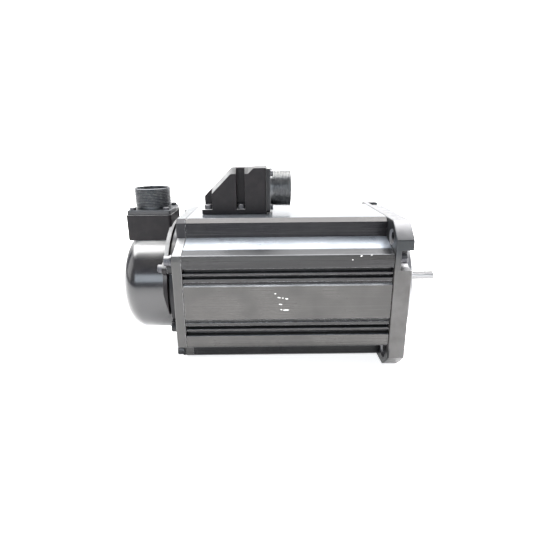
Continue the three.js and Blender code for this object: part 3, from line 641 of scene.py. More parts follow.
def cast_black():
    """Black paint over a machined casting, greyed by dust and painted light on top, rubbed along its edges,
    with painted shade in the bracket's notches, in a screw pocket, low on the flange's rear face and on the
    boss under the encoder housing.
    """
    r = Recipe("cast_black", metallic=0.55, specular=0.4)
    peel = r.noise(0.9, 3)
    grain = r.noise(0.18, 2)
    smudge = r.noise(18, 4)
    along, y, height = r.motor_position()
    outward = r.absolute(y)
    forward = r.ramp(along, 80, 100)
    lower = r.mix(r.ramp(smudge, 0.35, 0.7), (0.078, 0.076, 0.075), (0.056, 0.054, 0.053))
    flange = r.mix(r.ramp(height, 22, 46), lower, (0.022, 0.024, 0.026))
    # dust and painted light: the flange's faces that look up are painted grey
    flange = r.mix(r.up(0.4, 0.85), flange, (0.16, 0.16, 0.165))
    # painted shade: the lower part of the flange's rear face, below z -40 to -46, is painted near-black
    low_rear = r.times(r.ramp(along, FLANGE_REAR + 1.6, FLANGE_REAR + 0.8), r.ramp(height, -40, -46))
    flange = r.mix(low_rear, flange, (0.012, 0.012, 0.013))
    # painted shade: the bracket's notch walls near its top corners are painted near-black
    notch = r.times(r.ramp(height, 42, 46), r.ramp(outward, 48, 42))
    bracket = r.mix(notch, (0.054, 0.053, 0.052), (0.012, 0.012, 0.014))
    # dust and painted light: the bracket's faces that look up are painted grey
    bracket = r.mix(r.up(0.84, 0.94), bracket, (0.16, 0.165, 0.17))
    # painted shade: the boss behind the bracket, below z 24 to 30, is painted near-black under the encoder
    # housing
    boss = r.times(r.ramp(along, 0.2, -0.3), r.ramp(height, 30, 24))
    bracket = r.mix(boss, bracket, (0.008, 0.008, 0.009))
    r.base = r.mix(forward, bracket, flange)
    sheltered = r.band(along, FLANGE_REAR + 3, FLANGE_FRONT - 2)
    wear = r.times(r.edges(0.7, patch=(0.35, 0.6)), r.ramp(sheltered, 0, 1, 0.9, 0.1))
    r.paint(wear, (0.5, 0.5, 0.51))
    # painted shade: the walls of the flange's near-side screw pocket are painted near-black; the up-facing
    # floor is left as it is
    walls = r.times(r.ramp(along, FLANGE_REAR + 3, FLANGE_REAR + 3.6), r.ramp(outward, 64.9, 64.6))
    pocket = r.times(walls, r.band(height, TIE_NEAR - TIE_POCKET - 0.3, TIE_NEAR + TIE_POCKET + 0.3))
    r.paint(r.times(pocket, r.up(0.75, 0.45)), (0.006, 0.006, 0.007))
    r.bump(peel, 0.02)
    r.bump(grain, 0.006)
    return r.finish(r.ramp(r.noise(5, 4), 0.3, 0.7, 0.3, 0.42))


def cover_black():
    """Gloss enamel on a drawn pan: slight orange peel, a painted highlight on what looks up, a few rubbed
    spots.
    """
    r = Recipe("cover_black", coat=0.2, specular=0.6)
    smudge = r.noise(22, 5, rough=0.6)
    r.base = r.mix(r.ramp(smudge, 0.4, 0.7), (0.008, 0.008, 0.01), (0.015, 0.014, 0.014))
    # painted highlight: faces that look up are painted light grey
    r.paint(r.up(0.62, 0.95), (0.36, 0.36, 0.355))
    r.paint(r.times(r.edges(0.5), 0.6), BARE)
    r.bump(r.noise(1.6, 2), 0.008)
    return r.finish(r.ramp(smudge, 0.3, 0.8, 0.18, 0.28))


def box_black():
    """Matt powder paint on a die casting, with dust and painted light on its slopes."""
    r = Recipe("box_black", specular=0.16)
    grain = r.noise(0.28, 3, rough=0.7)
    cloud = r.noise(9, 4)
    r.base = r.mix(r.ramp(cloud, 0.35, 0.7), (0.008, 0.007, 0.008), (0.014, 0.012, 0.013))
    along, _, height = r.motor_position()
    # dust and painted light on faces that look up: paler on the rear slopes than at the front
    dust_and_sheen = r.mix(r.ramp(along, 40, 50), (0.23, 0.23, 0.23), (0.07, 0.07, 0.07))
    r.paint(r.times(r.up(0.2, 0.55), r.ramp(cloud, 0.2, 0.6, 0.6, 1.0)), dust_and_sheen)
    seat = r.times(r.up(0.8, 0.95), r.band(height, POWER_FOOT[2] - 0.3, POWER_FOOT[2] + 0.3))
    r.paint(seat, (0.62, 0.62, 0.61))
    r.paint(r.times(r.edges(0.5, patch=(0.35, 0.6)), 0.7), (0.35, 0.35, 0.35))
    r.bump(grain, 0.03)
    return r.finish(r.ramp(cloud, 0.3, 0.7, 0.42, 0.56))


def shell_grey():
    """Olive-grey anodised shell, polished on the thread's crests, with painted light on the power connector's
    up-facing faces.
    """
    r = Recipe("shell_grey", metallic=0.75, specular=0.5)
    cloud = r.noise(5, 4)
    along, _, height = r.motor_position()
    forward = r.ramp(along, 30, 60)
    dark = r.mix(forward, (0.045, 0.049, 0.055), (0.08, 0.083, 0.088))
    light = r.mix(forward, (0.075, 0.078, 0.082), (0.125, 0.127, 0.13))
    r.base = r.mix(r.ramp(cloud, 0.35, 0.7), dark, light)
    power_plate = r.band(along, POWER_END + 0.5, POWER_END + 3.4)
    encoder_plate = r.band(height, ENCODER_TOP + 0.5, ENCODER_TOP + 3.4)
    plate = r.mix(forward, encoder_plate, power_plate)
    r.paint(plate, r.mix(forward, (0.042, 0.042, 0.044), (0.016, 0.016, 0.017)))
    # painted light: the power connector's faces that look up are painted lighter
    r.paint(r.times(r.up(0.6, 1.0), forward), (0.2, 0.2, 0.193))
    r.paint(r.times(r.edges(0.25, 0.03, 0.2), 0.6), (0.42, 0.43, 0.43))
    r.bump(r.noise(0.2, 2), 0.006)
    return r.finish(r.ramp(cloud, 0.3, 0.7, 0.3, 0.42))


def steel(name, color, low, high, ring=0.14, painted_shade=1.0):
    """Turned steel: fine grooves round the X axis, with painted shade: the colour times painted_shade on what
    looks up, and times three painted_shade, at most 1, on what looks sideways or down.
    """
    r = Recipe(name, metallic=1.0)
    x, radius = r.turning()
    lanes = r.node("ShaderNodeCombineXYZ")
    r.plug(radius, lanes.inputs["X"])
    r.plug(x, lanes.inputs["Y"])
    texture = r.node("ShaderNodeTexNoise")
    r.plug(lanes.outputs[0], texture.inputs["Vector"])
    texture.inputs["Scale"].default_value = 1 / ring
    texture.inputs["Detail"].default_value = 3
    grooves = texture.outputs["Fac"]
    cloud = r.noise(14, 3)
    dark = tuple(c * 0.9 for c in color)
    r.base = r.mix(r.ramp(cloud, 0.35, 0.7), dark, color)
    r.paint(r.ramp(grooves, 0.6, 0.8, 0, 0.35), tuple(c * 0.7 for c in color))
    # painted shade: darker on what looks up and, less deeply, on what looks sideways or down, which leaves a
    # bright band between
    r.paint(r.up(0.55, 0.85), tuple(c * painted_shade for c in color))
    r.paint(r.up(0.35, -0.05), tuple(c * min(1, painted_shade * 3) for c in color))
    r.bump(grooves, 0.006)
    return r.finish(r.plus(r.ramp(cloud, 0.3, 0.7, low, high), r.ramp(grooves, 0.3, 0.7, 0, 0.06)))


def screw_black():
    """Black oxide with rubbed edges, a painted highlight on what looks up and painted shade on screws low on
    the motor.
    """
    r = Recipe("screw_black", metallic=0.7)
    cloud = r.noise(1.5, 4)
    _, _, height = r.motor_position()
    low = r.ramp(height, 0, -20)
    r.base = r.mix(r.ramp(cloud, 0.35, 0.7), (0.035, 0.035, 0.04), (0.08, 0.08, 0.086))
    # painted shade: screws below z 0, fully by z -20, are painted darker
    r.paint(low, (0.02, 0.02, 0.022))
    # painted highlight: faces that look up are painted grey
    r.paint(r.up(0.2, 0.9), (0.16, 0.16, 0.165))
    r.paint(r.edges(0.2, 0.03, 0.2), (0.42, 0.42, 0.42))
    r.bump(r.noise(0.15, 2), 0.005)
    return r.finish(r.ramp(cloud, 0.3, 0.7, 0.28, 0.44))


def plain(name, dark, light, low, high, size=2.0, grain=0.15, relief=0.01, metallic=0.0):
    """A moulded or sprayed surface: cloudy colour, cloudy gloss and a fine grain."""
    r = Recipe(name, metallic=metallic)
    cloud = r.noise(size, 4)
    r.bump(r.noise(grain, 3), relief)
    r.base = r.mix(r.ramp(cloud, 0.35, 0.7), dark, light)
    return r.finish(r.ramp(cloud, 0.3, 0.7, low, high))


def lamination():
    """Stacked sheets of electrical steel, seen as fine lines across the axis."""
    r = Recipe("lamination", metallic=0.8)
    x = r.position()[0]
    sheet = r.maths("PINGPONG", x, 0.25)
    cloud = r.noise(7, 4)
    r.base = r.mix(r.ramp(cloud, 0.35, 0.7), (0.16, 0.165, 0.175), (0.3, 0.3, 0.3))
    r.paint(r.ramp(sheet, 0.05, 0.0, 0, 0.8), (0.05, 0.05, 0.055))
    r.bump(r.ramp(sheet, 0.0, 0.08), 0.03)
    return r.finish(r.ramp(cloud, 0.3, 0.7, 0.35, 0.5))


def winding_copper():
    """Varnished enamelled wire, laid round the axis."""
    r = Recipe("winding_copper", metallic=0.6, coat=0.4)
    x, radius = r.turning()
    wander = r.times(r.noise(6, 2), 3.0)
    strand = r.maths("PINGPONG", r.plus(r.plus(radius, x), wander), 0.35)
    r.base = r.mix(r.ramp(strand, 0.0, 0.3), (0.12, 0.035, 0.012), (0.5, 0.19, 0.06))
    r.bump(r.ramp(strand, 0.0, 0.35), 0.2)
    return r.finish(r.ramp(r.noise(4, 3), 0.3, 0.7, 0.28, 0.42))


def disc_glass():
    """A clear disc with a ring of fine dark lines."""
    r = Recipe("disc_glass")
    r.shader.inputs["Transmission Weight"].default_value = 0.85
    _, y, z = r.motor_position()
    turn = r.times(r.maths("ARCTAN2", y, z), 360 / (2 * math.pi))
    _, radius = r.turning()
    line = r.ramp(r.maths("PINGPONG", turn, 0.5), 0.2, 0.3)
    track = r.times(r.ramp(radius, 16.9, 17.0), r.ramp(radius, 19.6, 19.5))
    r.base = r.mix(r.times(line, track), (0.8, 0.86, 0.86), (0.03, 0.03, 0.035))
    return r.finish(r.ramp(r.noise(6, 3), 0.3, 0.7, 0.03, 0.09))


def board_green():
    """Solder mask over faint copper tracks."""
    r = Recipe("board_green", coat=0.3)
    y = r.position()[1]
    lanes = r.maths("PINGPONG", r.plus(y, r.times(r.noise(9, 0), 14)), 1.0)
    r.base = r.mix(r.ramp(lanes, 0.62, 0.7), (0.008, 0.07, 0.03), (0.02, 0.15, 0.06))
    r.bump(r.ramp(lanes, 0.62, 0.7), 0.03)
    return r.finish(r.ramp(r.noise(3, 3), 0.3, 0.7, 0.3, 0.42))


MATERIALS = {
    "frame_black": frame_black(),
    "cast_black": cast_black(),
    "cover_black": cover_black(),
    "box_black": box_black(),
    "shell_grey": shell_grey(),
    "insert_black": plain("insert_black", (0.012, 0.012, 0.013), (0.024, 0.024, 0.026), 0.35, 0.5),
    "contact_metal": plain("contact_metal", (0.5, 0.36, 0.13), (0.78, 0.6, 0.28), 0.2, 0.32, metallic=1.0),
    "rubber_black": plain("rubber_black", (0.012,) * 3, (0.024, 0.024, 0.023), 0.6, 0.8, relief=0.02),
    "steel_bright": steel("steel_bright", (0.6, 0.6, 0.61), 0.3, 0.4, painted_shade=0.1),
    "machined": steel("machined", (0.3, 0.3, 0.31), 0.3, 0.42, 0.3),
    "screw_black": screw_black(),
    "lamination": lamination(),
    "winding_copper": winding_copper(),
    "magnet": plain("magnet", (0.3, 0.31, 0.33), (0.44, 0.45, 0.46), 0.22, 0.36, 6.0, metallic=0.9),
    "disc_glass": disc_glass(),
    "board_green": board_green(),
}

# ---------------------------------------------------------------- pieces


def piece(name, bm, nodes, slot, body="stator", second=None):
    """Makes an object of a mesh in the motor's millimetres. second is (material, test of a face)."""
    if second:
        look, test = second
        for face in bm.faces:
            face.material_index = 1 if test(face) else 0
    bmesh.ops.transform(bm, matrix=TO_ROW, verts=bm.verts)
    mesh = bpy.data.meshes.new(name)
    bm.to_mesh(mesh)
    bm.free()
    mesh.materials.append(MATERIALS[slot])
    if second:
        mesh.materials.append(MATERIALS[look])
    mesh.shade_smooth()
    mesh.set_sharp_from_angle(angle=math.radians(48))
    made = bpy.data.objects.new(name, mesh)
    bpy.context.scene.collection.objects.link(made)
    weighted = made.modifiers.new("normals", "WEIGHTED_NORMAL")
    weighted.keep_sharp = True
    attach(made, body)
    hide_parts(*nodes)
    return made


CROSS = [(*PLATEAU, 1.2), (*SHOULDER, 0.8), (SHOULDER[0], NOTCH_FLOOR, 1.2), (*SLOPE_END, 1.2)]
CROSS += [(*SIDE_TOP, 1.0), (*SIDE, 0.6)]


def slotted_side():
    points = []
    face = SIDE[0]
    for top, bottom in SLOTS:
        points += [(face, top, 0.35), (SLOT_FLOOR, top, 0.5), (SLOT_FLOOR, bottom, 0.5), (RIB, bottom, 0.35)]
        face = RIB
    floor = RIB - GROOVE_DEPTH
    points += [(RIB, PANEL_GROOVE[0], 0.25), (floor, PANEL_GROOVE[0], 0.2), (floor, PANEL_GROOVE[1], 0.2)]
    points += [(SIDE[0], PANEL_TOP, 0.3)]
    return points


def stator_frame():
    outline = fillet(mirrored([*CROSS, *slotted_side()]))
    holes = [circle((0, 0), FRAME_BORE, 128), *(circle(at, M5_TAP, 20) for at in WINDMILL)]
    bm = prism(outline, FRAME_START, FRAME_END, holes, (0.25, 0.25), 2)
    piece("stator_frame_extrusion", bm, ["stator_frame"], "frame_black")


def flange_outline():
    radius, half = FLANGE_CORNER / 2, FLANGE / 2
    edge = math.degrees(math.acos(half / radius))
    quarter = [(p.x, p.y, 0) for p in arc((0, 0), radius, 90 - edge, edge, 16)]
    return [Vector(p[:2]) for p in mirrored(quarter)]


def tie_pocket(turn):
    """The pocket round a flange screw, open forwards and out of the flange's side."""
    low, high = TIE_NEAR - TIE_POCKET, TIE_NEAR + TIE_POCKET
    outline = [Vector((-FLANGE / 2 - 2, low)), *arc((-TIE_FAR, TIE_NEAR), TIE_POCKET, -90, 90, 20)]
    outline.append(Vector((-FLANGE / 2 - 2, high)))
    return moved(prism(outline, TIE_FLOOR, FLANGE_FRONT + 2, bevel=(0.8, 0.0)), turn=(-90 * turn, "X"))


FRONT_BEARING = span("front_bearing_outer_ring")
REAR_BEARING = span("rear_bearing_outer_ring")
SEAL = span("oil_seal")


def front_flange():
    holes = [circle(at, BOLT_HOLE / 2, 40) for at in BOLTS]
    holes += [circle(at, M5_HOLE, 24) for at in WINDMILL]
    seat = FRONT_BEARING[1].y + 0.1
    seal_seat = SEAL[1].y + 0.1
    hub = seat + 6
    plate = prism(flange_outline(), FLANGE_REAR, FLANGE_FRONT, holes, (1.1, 1.2), 4)
    cuts = [tie_pocket(turn) for turn in range(4)]
    for y, z in BOLTS:
        mouth = [(FLANGE_REAR - 1, 0), (FLANGE_REAR - 1, 6.4), (FLANGE_REAR + 0.25, 6.4)]
        mouth += [(FLANGE_REAR + 1.4, BOLT_HOLE / 2 - 0.2), (FLANGE_REAR + 1.4, 0)]
        cuts.append(moved(revolve(mouth, 40), (0, y, z)))
    plate = cut(plate, *cuts)
    front = [
        (FLANGE_FRONT - 2, 20, 0), (FLANGE_FRONT - 2, PILOT / 2, 0),
        (FLANGE_FRONT + 0.4, PILOT / 2, 0), (FLANGE_FRONT + 0.8, PILOT / 2 - 0.4, 0),
        (FLANGE_FRONT + 1.6, PILOT / 2, 0), (PILOT_FRONT, PILOT / 2, 1.4), (PILOT_FRONT, 20, 0),
    ]
    pilot = turned(front, 160)
    boss_start = FRONT_BEARING[0].x - 2
    back = [
        (FLANGE_REAR + 2, seal_seat + 4, 0), (FLANGE_REAR + 2, SPIGOT, 0),
        (FLANGE_REAR - 5, SPIGOT, 0.8), (FLANGE_REAR - 5, SPIGOT - 6, 0.8),
        (FLANGE_REAR - 0.6, SPIGOT - 6, 1.5), (FLANGE_REAR - 0.6, hub, 1.5), (boss_start, hub, 0.8),
        (boss_start, seal_seat + 4, 0),
    ]
    spigot = turned(back, 128)
    bore = [
        (boss_start - 1, 0), (boss_start - 1, seat + 0.8), (boss_start + 0.8, seat),
        (FRONT_BEARING[1].x + SEAM, seat), (FRONT_BEARING[1].x + SEAM, seat - 8),
        (SEAL[0].x, seat - 8), (SEAL[0].x, seal_seat), (PILOT_FRONT - 0.6, seal_seat),
        (PILOT_FRONT + 0.2, seal_seat + 0.8), (PILOT_FRONT + 1, seal_seat + 0.8),
        (PILOT_FRONT + 1, 0),
    ]
    core = rod(21, boss_start + 0.5, PILOT_FRONT - 0.5, 96)
    body = cut(union(plate, pilot, spigot, core), revolve(bore, 96))

    def turned_face(face):
        centre = face.calc_center_median()
        if centre.x > FLANGE_FRONT + 0.05:
            return Vector(centre.yz).length < PILOT / 2 + 1
        from_bolt = Vector((abs(centre.y) - BOLT_AT, abs(centre.z) - BOLT_AT)).length
        return FLANGE_REAR + 0.05 < centre.x < FLANGE_REAR + 1.35 and from_bolt < 6.5

    piece("front_flange_casting", body, ["front_flange"], "cast_black", second=("machined", turned_face))


def rear_bracket():
    outline = fillet(mirrored(CROSS))
    holes = [circle((0, 0), 20, 96), *(circle(at, M5_HOLE, 24) for at in WINDMILL)]
    plate = prism(outline, 0, BRACKET_THICK, holes, (1.3, 0.25))
    seat = REAR_BEARING[1].y + 0.1
    hub = seat + 5
    hub_end = REAR_BEARING[1].x + 2
    section = [
        (-BOSS_DEPTH, BOSS_RADIUS - 8, 0.5), (-BOSS_DEPTH, BOSS_RADIUS, 1.0), (1, BOSS_RADIUS, 0),
        (BRACKET_THICK - 1, SPIGOT, 0), (BRACKET_THICK + 5, SPIGOT, 0.8),
        (BRACKET_THICK + 5, SPIGOT - 6, 0.8), (BRACKET_THICK, SPIGOT - 6, 1.5),
        (BRACKET_THICK, hub, 1.5), (hub_end, hub, 0.8), (hub_end, seat, 0.6),
        (REAR_BEARING[0].x - 1.5, seat, 0), (REAR_BEARING[0].x - 1.5, 9, 0.4),
        (-BOSS_DEPTH + 3.5, 9, 0.4), (-BOSS_DEPTH + 3.5, BOSS_RADIUS - 8, 0.5),
    ]
    boss = turned(section, 160)
    ears = rods(ENCODER_EAR, -BOSS_DEPTH + 0.05, 1, 40, ENCODER_SCREWS)
    taps = rods(M4_TAP, -BOSS_DEPTH - 1, 4, 20, ENCODER_SCREWS)
    body = cut(union(plate, boss, *ears), *taps)
    piece("rear_bracket_casting", body, ["rear_bracket"], "cast_black")


# ---------------------------------------------------------------- screws


def hexagon(apothem):
    sector = math.pi / 3
    return lambda angle: apothem / math.cos((angle % sector) - sector / 2)


def knurled(radius, teeth):
    return lambda angle: radius - 0.07 * (1 + math.cos(angle * teeth))


def cap_screw(head, height, shank, length, washer=0.0):
    """A socket cap screw along +X: the head's underside is at x = 0."""
    top = -washer - height
    teeth = 24
    socket = hexagon(head * 0.5)
    profile = [
        (top + height * 0.55, 0), (top + height * 0.55, socket), (top + 0.15, socket),
        (top, hexagon(head * 0.56)), (top, head * 0.86), (top + 0.12, head * 0.94),
        (top + 0.4, head), (top + 0.55, knurled(head, teeth)),
        (-washer - 0.45, knurled(head, teeth)), (-washer - 0.3, head),
    ]
    if washer:
        profile += [(-washer, head * 0.97), (-washer, head * 1.08)]
        profile += [(-washer + 0.1, head * 1.17), (-0.1, head * 1.19), (0, head * 1.17)]
    else:
        profile += [(-0.1, head * 0.99), (0, head * 0.96)]
    profile += [(0, shank), (length - 0.6, shank), (length, shank - 0.6), (length, 0)]
    return revolve(profile, 96)


M5 = {"head": 4.25, "height": 5, "shank": 2.5, "length": 14, "washer": 1.4}
M4 = {"head": 3.5, "height": 4, "shank": 2, "length": 9}
M3 = {"head": 2.75, "height": 2.2, "shank": 1.5, "length": 8}


def screw(node, size, at, turn=None):
    piece(f"{node}_cap", moved(cap_screw(**size), at, turn), [node], "screw_black")


def frame_screws():
    for i, (y, z) in enumerate(WINDMILL, 1):
        screw(f"flange_screw_{i}", M5, (TIE_FLOOR + 0.05, y, z), BACKWARDS)
        screw(f"bracket_screw_{i}", M5, (-0.05, y, z))


def encoder_screws():
    y, z = ENCODER_SCREW
    for i, side in enumerate((-1, 1), 1):
        screw(f"encoder_screw_{i}", M4, (span(f"encoder_screw_{i}")[0].x + M4["height"], side * y, z))


# ---------------------------------------------------------------- encoder


def encoder_cover():
    def shell(grow):
        end, corner, radius = COVER_END + grow, COVER_CORNER - grow, COVER_RADIUS - grow
        bend = arc((end + corner, radius - corner), corner, 180, 90, 14)
        return [(end, 0), *((p.x, p.y) for p in bend)]

    lip = [(COVER_OPEN - 0.4, COVER_RADIUS), (COVER_OPEN, COVER_RADIUS - 0.4)]
    lip += [(COVER_OPEN, COVER_RADIUS - COVER_WALL + 0.4), (COVER_OPEN - 0.4, COVER_RADIUS - COVER_WALL)]
    pan = revolve([*shell(0), *lip, *reversed(shell(COVER_WALL))], 160)
    hole = moved(rod(7, 0, 12, 40), (ENCODER_X, 0, COVER_RADIUS - 8), UPWARDS)
    body = cut(pan, hole)
    piece("encoder_cover_pan", body, ["encoder_cover"], "cover_black")


def encoder_housing():
    half, behind = 19.2, 20.3
    square = fillet([(-half, behind, 3), (half, behind, 3), (half, -half, 3), (-half, -half, 3)], 6)
    hollow = circle((0, 0), WELL, 96)
    well = moved(prism(square, 30, ENCODER_TOP, bevel=(0.0, 0.5)), (ENCODER_X, 0, 0), UPWARDS)
    start, end = HOUSING_RIM
    rim = tube(HOUSING_BORE - 1, HOUSING_OUTER, start, end, 0.6, 160)
    wedge = [(start - 1, 6), (start, 6), (end, -14), (end + 1, -14), (end + 1, -70), (start - 1, -70)]
    lower = loft([(-70, wedge), (70, wedge)])
    uppers = ENCODER_SCREWS[:2]
    ears = rods(5.4, start + 0.02, end - 0.02, 40, uppers)
    body = union(cut(rim, lower), well, *ears)
    cuts = [rod(HOUSING_BORE, -60, 5, 160)]
    cuts.append(moved(prism(hollow, 20, ENCODER_TOP + 1, bevel=(0.0, 0.0)), (ENCODER_X, 0, 0), UPWARDS))
    cuts += rods(M4_HOLE, start - 3, end + 3, 24, uppers)
    for a, b in CONNECTOR_SCREWS:
        cuts.append(moved(rod(M3_TAP, -8, 1, 16), (ENCODER_X + a, b, ENCODER_TOP), UPWARDS))
    body = softened(cut(body, *cuts), 0.3, 40, 2)
    piece("encoder_housing_casting", body, ["encoder_housing"], "box_black")


# ---------------------------------------------------------------- connectors


def key_notch(radius):
    """A bore with one wide and four narrow polarising keyways."""
    keys = ((0, 0.16), (1.2, 0.08), (2.5, 0.08), (3.7, 0.08), (5.1, 0.08))

    def depth(angle):
        for centre, half in keys:
            away = abs((angle - centre + math.pi) % (2 * math.pi) - math.pi)
            if away < half:
                return radius + 0.7
        return radius

    return depth


def thread(start, end):
    """The thread's V grooves, as (x, radius) points."""
    count = round((end - start) / THREAD_PITCH)
    pitch = (end - start) / count
    root = THREAD - THREAD_DEPTH
    points = []
    for i in range(count):
        crest = start + i * pitch
        points += [(crest, THREAD), (crest + pitch * 0.22, THREAD)]
        points += [(crest + pitch * 0.55, root), (crest + pitch * 0.67, root)]
    return [*points, (end, THREAD)]


def connector_plate(start, end, bore, bevel):
    square = fillet([(a, b, 2.2) for a, b in corners(CONNECTOR_HALF, CONNECTOR_HALF)], 6)
    holes = [circle((0, 0), bore, 96), *(circle(at, M3_HOLE, 24) for at in CONNECTOR_SCREWS)]
    return prism(square, start, end, holes, bevel)


def receptacle():
    """A box-mounting receptacle along +X, from the face of its flange."""
    start, end = CONNECTOR_THICK + 2.6, CONNECTOR_RIM - 0.5
    root = THREAD - THREAD_DEPTH - 0.15
    outside = [(-CONNECTOR_BACK, BARREL - 0.4), (-CONNECTOR_BACK + 0.4, BARREL), (1, BARREL), (1, root)]
    outside += [(start - 0.5, root), (start - 0.1, THREAD - 0.3)]
    outside += thread(start, end)
    mouth, key = MOUTH, key_notch(MOUTH)
    step = INSERT_TOP
    inside = [(CONNECTOR_RIM, THREAD - 0.5), (CONNECTOR_RIM, mouth + 0.9), (CONNECTOR_RIM - 0.4, key)]
    inside += [(step, key), (step, BARREL_BORE), (-CONNECTOR_BACK, BARREL_BORE)]
    barrel = revolve([*outside, *inside], 120, closed=True)
    return union(connector_plate(0, CONNECTOR_THICK, BARREL - 0.5, (0.2, 0.5)), barrel)


def gasket():
    return connector_plate(0.05, GASKET - 0.05, WELL, (0.15, 0.15))


def insert(contacts, boss):
    """A moulded insert with a raised collar round each contact, and a domed edge."""
    rim = [
        (INSERT_START, 0, 0), (INSERT_START, INSERT, 0.4), (INSERT_TOP, INSERT, 0.5),
        (INSERT_TOP, INSERT - 0.9, 0), (INSERT_TOP - 0.5, INSERT - 1.2, 0),
        (INSERT_TOP - 0.5, 0, 0),
    ]
    disc = turned(rim, closed=False)
    return union(disc, *rods(boss, INSERT_TOP - 1, INSERT_TOP - 0.02, 24, contacts))


def contact(radius):
    """A round pin with a bullet nose."""
    tip = INSERT_TOP + PIN_REACH
    nose = arc((tip - radius, 0), radius, 80, 0, 5)
    tail = INSERT_START - 3
    return revolve([(tail, 0), (tail, radius), *((p.x, p.y) for p in nose[:-1]), (tip, 0)], 24)


POWER_CONTACTS = corners(4.7, 4.7)
ENCODER_CONTACTS = [
    (radius * math.sin(2 * math.pi * i / count), radius * math.cos(2 * math.pi * i / count))
    for radius, count in ((8.6, 7), (3.6, 3))
    for i in range(count)
]


def connector(name, seat, turn, inserted):
    """Gasket, shell and flange screws of a connector whose gasket starts at seat."""

    def put(bm, offset=(0, 0, 0)):
        moved(bm, offset)
        if turn:
            moved(bm, turn=turn)
        return moved(bm, seat)

    shell_at = (GASKET, 0, 0)
    piece(f"{name}_gasket_sheet", put(gasket()), [f"{name}_gasket"], "rubber_black")
    piece(f"{name}_shell_body", put(receptacle(), shell_at), [f"{name}_shell"], "shell_grey")
    piece(f"{name}_insert_moulding", put(inserted, shell_at), [f"{name}_insert"], "insert_black")
    for i, (a, b) in enumerate(CONNECTOR_SCREWS, 1):
        body = moved(cap_screw(**M3), turn=BACKWARDS)
        body = put(body, (GASKET + CONNECTOR_THICK + 0.05, a, b))
        piece(f"{name}_screw_{i}_cap", body, [f"{name}_screw_{i}"], "screw_black")
    return put


def connectors():
    put = connector("encoder_connector", (ENCODER_X, 0, ENCODER_TOP), UPWARDS, insert(ENCODER_CONTACTS, 1.3))
    pins = [moved(contact(0.8), (GASKET, a, b)) for a, b in ENCODER_CONTACTS]
    body = put(joined(*pins))
    piece("encoder_connector_contacts", body, ["encoder_connector_insert"], "contact_metal")
    put = connector("power_connector", (POWER_END, 0, POWER_Z), None, insert(POWER_CONTACTS, 2.0))
    for i, (a, b) in enumerate(POWER_CONTACTS, 1):
        body = put(contact(1.2), (GASKET, a, b))
        piece(f"power_connector_pin_{i}_contact", body, [f"power_connector_pin_{i}"], "contact_metal")


# ---------------------------------------------------------------- power box


def loft(sections):
    """A solid through outlines of equal point count, each (y, [(x, z), ...])."""
    bm = bmesh.new()
    rings = [[bm.verts.new((x, y, z)) for x, z in outline] for y, outline in sections]
    for a, b in zip(rings, rings[1:]):
        for i in range(len(a)):
            j = (i + 1) % len(a)
            if a[i].co.xz == b[i].co.xz and a[j].co.xz == b[j].co.xz and a[i].co.y == b[i].co.y:
                continue
            bm.faces.new((a[i], a[j], b[j], b[i]))
    bm.faces.new(rings[0])
    bm.faces.new(rings[-1])
    bmesh.ops.recalc_face_normals(bm, faces=bm.faces)
    return bm


def power_box():
    bevel = 5.0
    flat_start, flat_end, rise = 45.3, 60.1, 65.3
    start_of_foot, base, top = POWER_FOOT

    def outline(drop):
        return [
            (POWER_START, base), (POWER_START, POWER_TOP - drop - (flat_start - POWER_START)),
            (flat_start, POWER_TOP - drop), (flat_end, POWER_TOP - drop), (rise, POWER_TOP),
            (POWER_END, POWER_TOP), (POWER_END, base),
        ]

    ridge = POWER_HALF - bevel
    drops = ((-POWER_HALF, bevel), (-ridge, 0), (ridge, 0), (POWER_HALF, bevel))
    sections = [(y, outline(drop)) for y, drop in drops]
    foot = block((start_of_foot, -POWER_HALF, base), (POWER_START + 20, POWER_HALF, top))
    hood = union(loft(sections), foot)
    wall = 3.4
    room = [
        (POWER_START + 11, base - 1), (POWER_START + 11, POWER_TOP - 20),
        (flat_start + 2, POWER_TOP - wall * 2), (POWER_END - wall, POWER_TOP - wall * 2),
        (POWER_END - wall, base - 1),
    ]
    inside = POWER_HALF - 10
    cuts = [loft([(-inside, room), (inside, room)])]
    cuts.append(moved(rod(WELL, POWER_END - CONNECTOR_BACK - 2, POWER_END + 1, 96), (0, 0, POWER_Z)))
    for x in POWER_SCREW_X:
        for side in (-1, 1):
            near = start_of_foot - 1 if x == POWER_SCREW_X[0] else x - 3.7
            open_y, inner_y = sorted((side * (POWER_HALF + 1), side * (POWER_HALF - 8)))
            cuts.append(block((near, open_y, top), (x + 3.7, inner_y, POWER_TOP + 1)))
            cuts.append(moved(rod(M4_HOLE, -1, top - base + 1, 24), (x, side * POWER_SCREW_Y, base), UPWARDS))
    taps = [(a, POWER_Z + b) for a, b in CONNECTOR_SCREWS]
    cuts += rods(M3_TAP, POWER_END - 6, POWER_END + 1, 16, taps)
    body = softened(cut(hood, *cuts), 0.45, 25, 3)
    piece("power_box_casting", body, ["power_box"], "box_black")
    count = 0
    for x in POWER_SCREW_X:
        for side in (-1, 1):
            count += 1
            at = (x, side * POWER_SCREW_Y, top + 0.05)
            screw(f"power_box_screw_{count}", M4, at, DOWNWARDS)


# ---------------------------------------------------------------- shaft and seal


